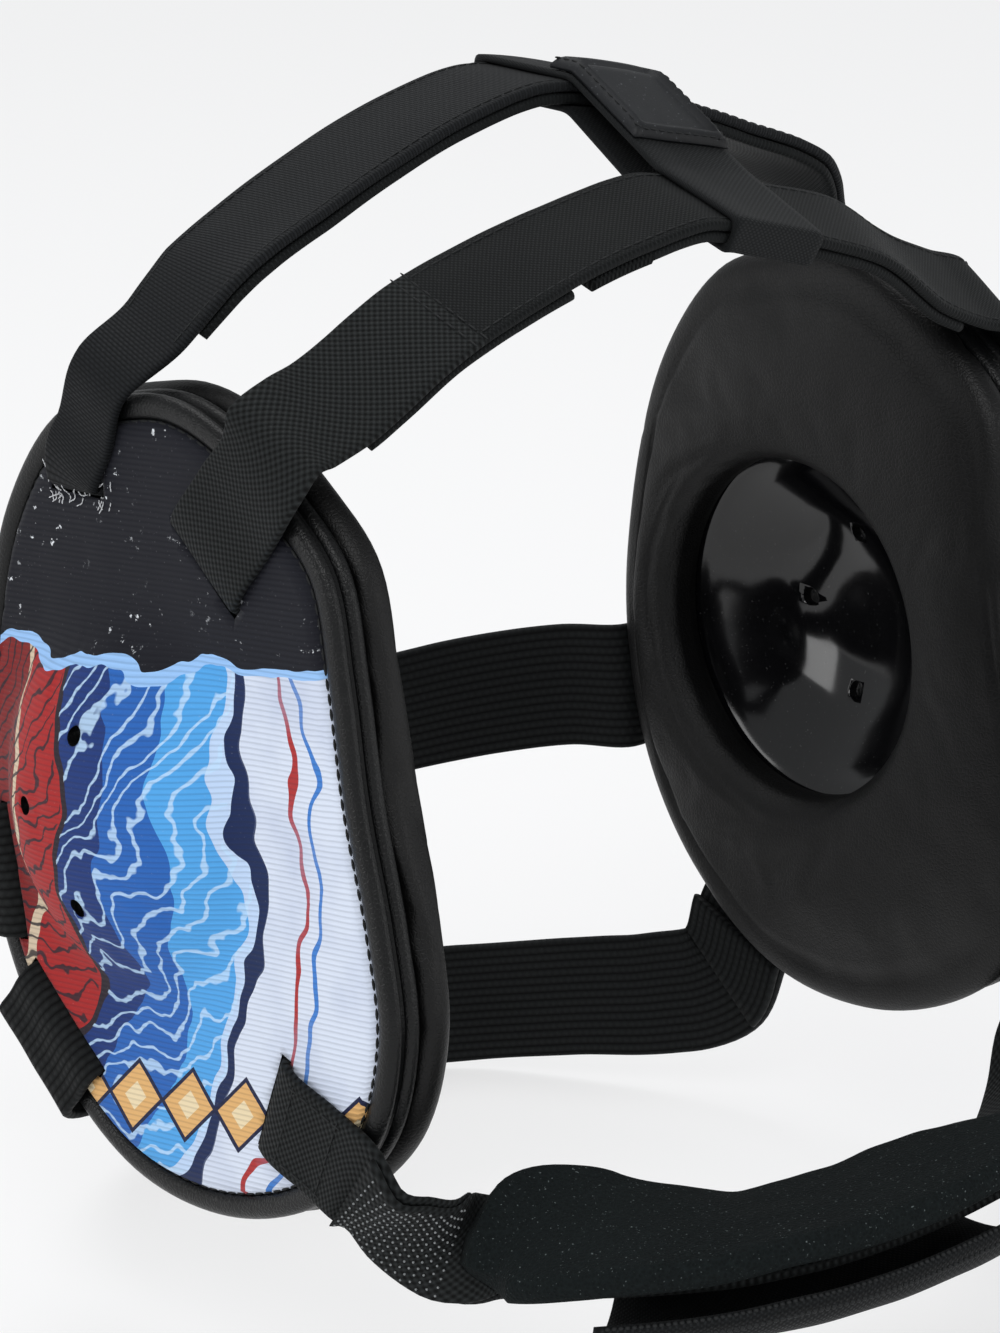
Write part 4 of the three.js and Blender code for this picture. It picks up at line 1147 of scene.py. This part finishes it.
def crossBand():
    rows, marks = [], []
    half, gap, thick = band["half"], band["gap"], band["thick"]
    across = np.linspace(-half + band["inset"], half - band["inset"], band["lanes"])
    plan = [(x, gap + thick) for x in across] + [(half, gap + thick / 2)]
    plan += [(x, gap) for x in across[::-1]] + [(-half, gap + thick / 2)]
    for x, grow in plan:
        corners = bandLoop(band["offset"] + x, grow)
        ring, spots = loopSamples(roundedLoop(corners, band["corner"]), band["around"])
        rows.append(ring)
        marks.append([(x, spot) for spot in spots])
    mesh = meshFromGrid("crossBand", rows, marks, True)
    addPiece("crossBand", mesh, [cloths["twillCloth"]], ["cross_band"])


crossBand()


# the top run of the band as a line of points at this place across it
def bandTop(place, grow):
    corners = bandLoop(place, grow)[1:5]
    return np.array(corners), runOf(corners)


def rubberPatch():
    across = np.linspace(-1, 1, 25)
    steps = np.linspace(0, 1, 33)
    off = band["gap"] * 2 + band["thick"]
    lines = [bandTop(band["offset"] + share * band["patchHalf"], off) for share in across]
    lower, upper = [], []
    for step in steps:
        row = []
        for corners, reach in lines:
            spot = band["patchFrom"] + step * band["patchLength"]
            row.append([np.interp(spot, reach, corners[:, k]) for k in range(3)])
        lower.append(row)
    lower = np.array(lower)
    up = unit(np.cross(np.gradient(lower, axis=0), np.gradient(lower, axis=1)))
    up *= np.sign(up[..., 2:3])
    for r, step in enumerate(steps):
        row = []
        for c, share in enumerate(across):
            edge = min(1 - abs(share), 1.15 * (1 - abs(2 * step - 1)))
            high = 0.45 + 0.55 * min(1.0, edge / 0.07)
            bead = band["rimBead"] * math.exp(-((edge - band["rimAt"]) / band["rimWide"]) ** 2)
            field = band["field"] if band["fieldFrom"] < edge else 0.0
            bevel = band["bevel"] * max(0.0, (step - band["bevelFrom"]) / 0.16)
            rise = high - 0.12 + bead + field + bevel
            row.append(lower[r, c] + up[r, c] * band["patchThick"] * rise)
        upper.append(row)
    upper = np.array(upper)
    rows, marks = [], []
    for r in range(len(steps)):
        rows.append(np.vstack([upper[r], lower[r][::-1]]))
        marks.append([(p[0], p[1]) for p in rows[-1]])
    mesh = meshFromGrid("crossBandPatch", rows, marks)
    addPiece("crossBandPatch", mesh, [mattRubber], ["cross_band_patch"])
    bound = np.vstack([upper[1, 1:-1], upper[1:-1, -2], upper[-2, 1:-1][::-1], upper[1:-1, 1][::-1]])
    bakedPiece("patchStitches", stitchRow, [list(bound) + [bound[0]]],
               threadOf(0.0022, 0.0017, 0.0002, darkThread))


rubberPatch()
print("crown straps and cross band built")


# chin pad, sleeve, hook dots

chin = {"padUnder": 0.0032, "padThick": 0.0055, "padHalf": 0.018, "point": 0.024, "tip": 0.14,
        "sleeveFromRight": 0.028, "sleeveFromLeft": 0.006, "sleeveWall": 0.0016, "sleeveDepth": 0.0124,
        "crown": 0.0007, "wrinkle": 0.00025, "sag": 0.0005, "sleeveGap": 0.0006, "around": 26}
# the trough's section: across in pad widths, down in sleeve depths
sleeveTable = np.array([(0.39, 0), (0.38, 0.31), (0.33, 0.68), (0.11, 1), (-0.17, 1),
                        (-0.39, 0.72), (-0.46, 0.4)])
padFrom, padTo = spanOf(chinTrack, "chin_pad", 6)


def chinPad():
    part = cutTrack(chinTrack, padFrom, padTo)
    under, over = chin["padUnder"], chin["padUnder"] + chin["padThick"]
    sections = []
    for distance in part["dist"]:
        toEnd = max(min(distance - padFrom, padTo - distance), 0.0)
        ease = min(1.0, toEnd / chin["point"])
        share = chin["tip"] + (1 - chin["tip"]) * (ease * (2 - ease)) ** 0.9
        section = bandSection(share * chin["padHalf"], under, over, 0.0014 * share, 23)
        puffed = []
        for x, y in section:
            arch = chin["crown"] * math.cos(math.pi * 0.5 * x / (share * chin["padHalf"]))
            crown = arch if y > under + 0.003 else 0
            wrinkle = chin["wrinkle"] * noise.noise(Vector((x * 160, distance * 120, 5)))
            puffed.append((x, y + crown + wrinkle))
        sections.append(puffed)
    grid, marks = sectionGrid(part, sections)
    addPiece("chinPad", meshFromGrid("chinPad", grid, marks), [chinFoam], ["chin_pad"])


def chinSleeve():
    start, end = padFrom + chin["sleeveFromRight"], padTo - chin["sleeveFromLeft"]
    part = cutTrack(chinTrack, start, end)
    hang = chin["padUnder"] - chin["sleeveGap"]
    points = sleeveTable * (2 * chin["padHalf"], -chin["sleeveDepth"]) + (0, hang)
    reach = runOf(points)
    spread = np.linspace(0, reach[-1], chin["around"])
    inner = smoothAlong(reach, points, spread)
    way = unit(np.gradient(inner, axis=0))
    outer = inner + np.column_stack([-way[:, 1], way[:, 0]]) * chin["sleeveWall"]
    outer[0] = inner[0] + (chin["sleeveWall"], 0)
    sections = []
    for distance in part["dist"]:
        sag = chin["sag"] * noise.noise(Vector((distance * 70, 2, 8)))
        wall = np.vstack([inner, outer[::-1]])
        wall[:, 1] += sag * (hang - wall[:, 1]) / chin["sleeveDepth"]
        sections.append([tuple(point) for point in wall])
    grid, marks = sectionGrid(part, sections)
    # the cloth's own way round the trough, so that the twill doesn't stretch on its sides
    around = np.concatenate([spread, spread[::-1]])
    marks = [[(u, v) for u, (_, v) in zip(around, row)] for row in marks]
    mesh = sleeveMesh(grid, marks)
    addPiece("chinSleeve", mesh, [cloths["twillCloth"]], ["chin_sleeve"])
    rim = inner[-1] * 0.5 + outer[-1] * 0.5
    lips = [lineAlong(chinTrack, start + 0.002, end - 0.002, rim[0], rim[1])]
    lips.append(lineAlong(chinTrack, start + 0.002, end - 0.002, rim[0] - 0.0010, rim[1] - 0.0022))
    bakedPiece("sleeveOverlock", stitchRow, lips,
               threadOf(0.0012, 0.0010, 0.0005, darkThread))


# like meshFromGrid, but its two ends close across the wall and leave the trough open
def sleeveMesh(grid, marks):
    mesh = meshFromGrid("chinSleeve", grid, marks)
    work = bmesh.new()
    work.from_mesh(mesh)
    work.verts.ensure_lookup_table()
    cols = len(grid[0])
    layer = work.loops.layers.uv.active
    caps = [face for face in work.faces if len(face.verts) > 4]
    bmesh.ops.delete(work, geom=caps, context="FACES_ONLY")
    for start in (0, (len(grid) - 1) * cols):
        for i in range(cols // 2 - 1):
            corners = [start + i, start + i + 1, start + cols - 2 - i, start + cols - 1 - i]
            face = work.faces.new([work.verts[k] for k in corners])
            for loop, k in zip(face.loops, corners):
                loop[layer].uv = marks[k // cols][k % cols]
    work.to_mesh(mesh)
    work.free()
    faceOutwards(mesh)
    return mesh


hooks = {"rowPitch": 0.00115, "dotPitch": 0.00168, "across": 11, "from": -0.0088, "to": 0.0092,
         "start": 0.0016, "spare": 0.002, "height": 0.003, "radius": 0.00024}


def hookDots():
    start, _ = spanOf(chinTrack, "chin_hook_patch")
    spots = []
    for r in range(int((padFrom - start - hooks["spare"]) / hooks["rowPitch"])):
        for c in range(hooks["across"]):
            across = hooks["from"] + c * hooks["dotPitch"] + (hooks["dotPitch"] / 2 if r % 2 else 0)
            if across < hooks["to"]:
                along = start + hooks["start"] + r * hooks["rowPitch"]
                spots.append(trackPoint(chinTrack, along, across, hooks["height"]))
    bakedPiece("hookDots", dotField, [[spot] for spot in spots],
               {"Dot Radius": hooks["radius"], "Thread": hookDot})


chinPad()
chinSleeve()
hookDots()

boxHalf = strap["chinBoxHalf"]
boxed = [lineAlong(chinTrack, *strap["chinBox"], side * boxHalf, top) for side in (-1, 1)]
boxed += [lineAcross(chinTrack, place, boxHalf, top) for place in strap["chinBox"]]
bakedPiece("chinBoxStitches", stitchRow, boxed, seam)
print("chin straps built")


# loose white threads round the gathered slot of the rear crown strap
def frayedThreads():
    random.seed(4)
    back, up, turn, width, _ = cupSlots[1]
    swing = math.radians(turn)
    lines = []
    for k in range(30):
        across = random.uniform(-0.5, 0.5) * (width + 0.004)
        below = random.choice((-1, -1, 1)) * random.uniform(0.0012, 0.0022)
        y = back * cup["width"] + below * math.cos(swing) - across * math.sin(swing)
        z = up * cup["height"] + below * math.sin(swing) + across * math.cos(swing)
        way = random.uniform(0, 2 * math.pi)
        line = []
        for step in range(4):
            reach = step * random.uniform(0.0004, 0.0008)
            line.append((-(cup["halfHead"] + cup["coverFace"] + 0.0002 + 0.00025 * step),
                         y + reach * math.cos(way + 0.3 * step) + cup["centreBack"],
                         z + reach * math.sin(way + 0.3 * step) + cup["centreUp"]))
        lines.append(line)
    bakedPiece("frayedThreads", stitchRow, lines,
               threadOf(0.0006, 0.0008, 0.00011, paleThread))


frayedThreads()


# floor, light and camera

def studio():
    low = cadLow.z - 0.0015
    mesh = bpy.data.meshes.new("paleFloor")
    mesh.from_pydata([(-6, -6, low), (6, -6, low), (6, 6, low), (-6, 6, low)], [], [(0, 1, 2, 3)])
    floor = bpy.data.objects.new("paleFloor", mesh)
    show(floor)
    paper = bpy.data.materials.new("palePaper")
    paper.use_nodes = True
    shader = paper.node_tree.nodes["Principled BSDF"]
    shader.inputs["Base Color"].default_value = (0.30, 0.30, 0.305, 1)
    shader.inputs["Roughness"].default_value = 0.95
    shader.inputs["Specular IOR Level"].default_value = 0.0
    shader.inputs["Emission Color"].default_value = (1, 1, 1, 1)
    shader.inputs["Emission Strength"].default_value = 0.66
    mesh.materials.append(paper)
    world = bpy.data.worlds.new("softRoom")
    world.use_nodes = True
    world.node_tree.nodes["Background"].inputs[0].default_value = (0.92, 0.94, 0.96, 1)
    world.node_tree.nodes["Background"].inputs[1].default_value = 0.55
    bpy.context.scene.world = world
    bpy.context.scene.view_settings.view_transform = "Standard"


def softLight(name, place, aim, size, energy):
    lamp = bpy.data.lights.new(name, "AREA")
    lamp.shape, lamp.size, lamp.energy = "SQUARE", size, energy
    holder = bpy.data.objects.new(name, lamp)
    holder.location = place
    holder.rotation_euler = (Vector(aim) - Vector(place)).to_track_quat("-Z", "Y").to_euler()
    show(holder)


# where the photo was taken from, in degrees and metres, and its lens in the photo's pixels
view = {"turn": -42, "tilt": 17, "away": 1.2, "aim": (0, -0.0025, -0.1202), "left": 0.00192,
        "up": 0.00894, "focal": 6245, "pixelsHigh": 1333, "sensor": 36}


def photoCamera():
    turn, tilt = math.radians(view["turn"]), math.radians(view["tilt"])
    back = Vector((math.sin(turn) * math.cos(tilt), -math.cos(turn) * math.cos(tilt), math.sin(tilt)))
    right = Vector((math.cos(turn), math.sin(turn), 0))
    up = right.cross(-back)
    lens = bpy.data.cameras.new("photoCamera")
    lens.lens = view["focal"] / view["pixelsHigh"] * view["sensor"]
    lens.sensor_width = lens.sensor_height = view["sensor"]
    lens.sensor_fit = "AUTO"
    lens.clip_start, lens.clip_end = 0.05, 30
    camera = bpy.data.objects.new("photoCamera", lens)
    camera.location = Vector(view["aim"]) + back * view["away"] - right * view["left"] + up * view["up"]
    camera.rotation_euler = back.to_track_quat("Z", "Y").to_euler()
    show(camera)
    bpy.context.scene.camera = camera


studio()
for name, place, size, energy in (
        ("keyLight", (-0.9, -0.7, 0.9), 0.7, 8), ("frontLight", (0.5, -1.5, 0.3), 0.8, 5),
        ("topLight", (0.1, 0.5, 1.1), 0.8, 6), ("leftLight", (-1.4, 0.5, 0.1), 0.6, 4)):
    softLight(name, place, (0, 0, -0.12), size, energy)
photoCamera()
print("studio set")
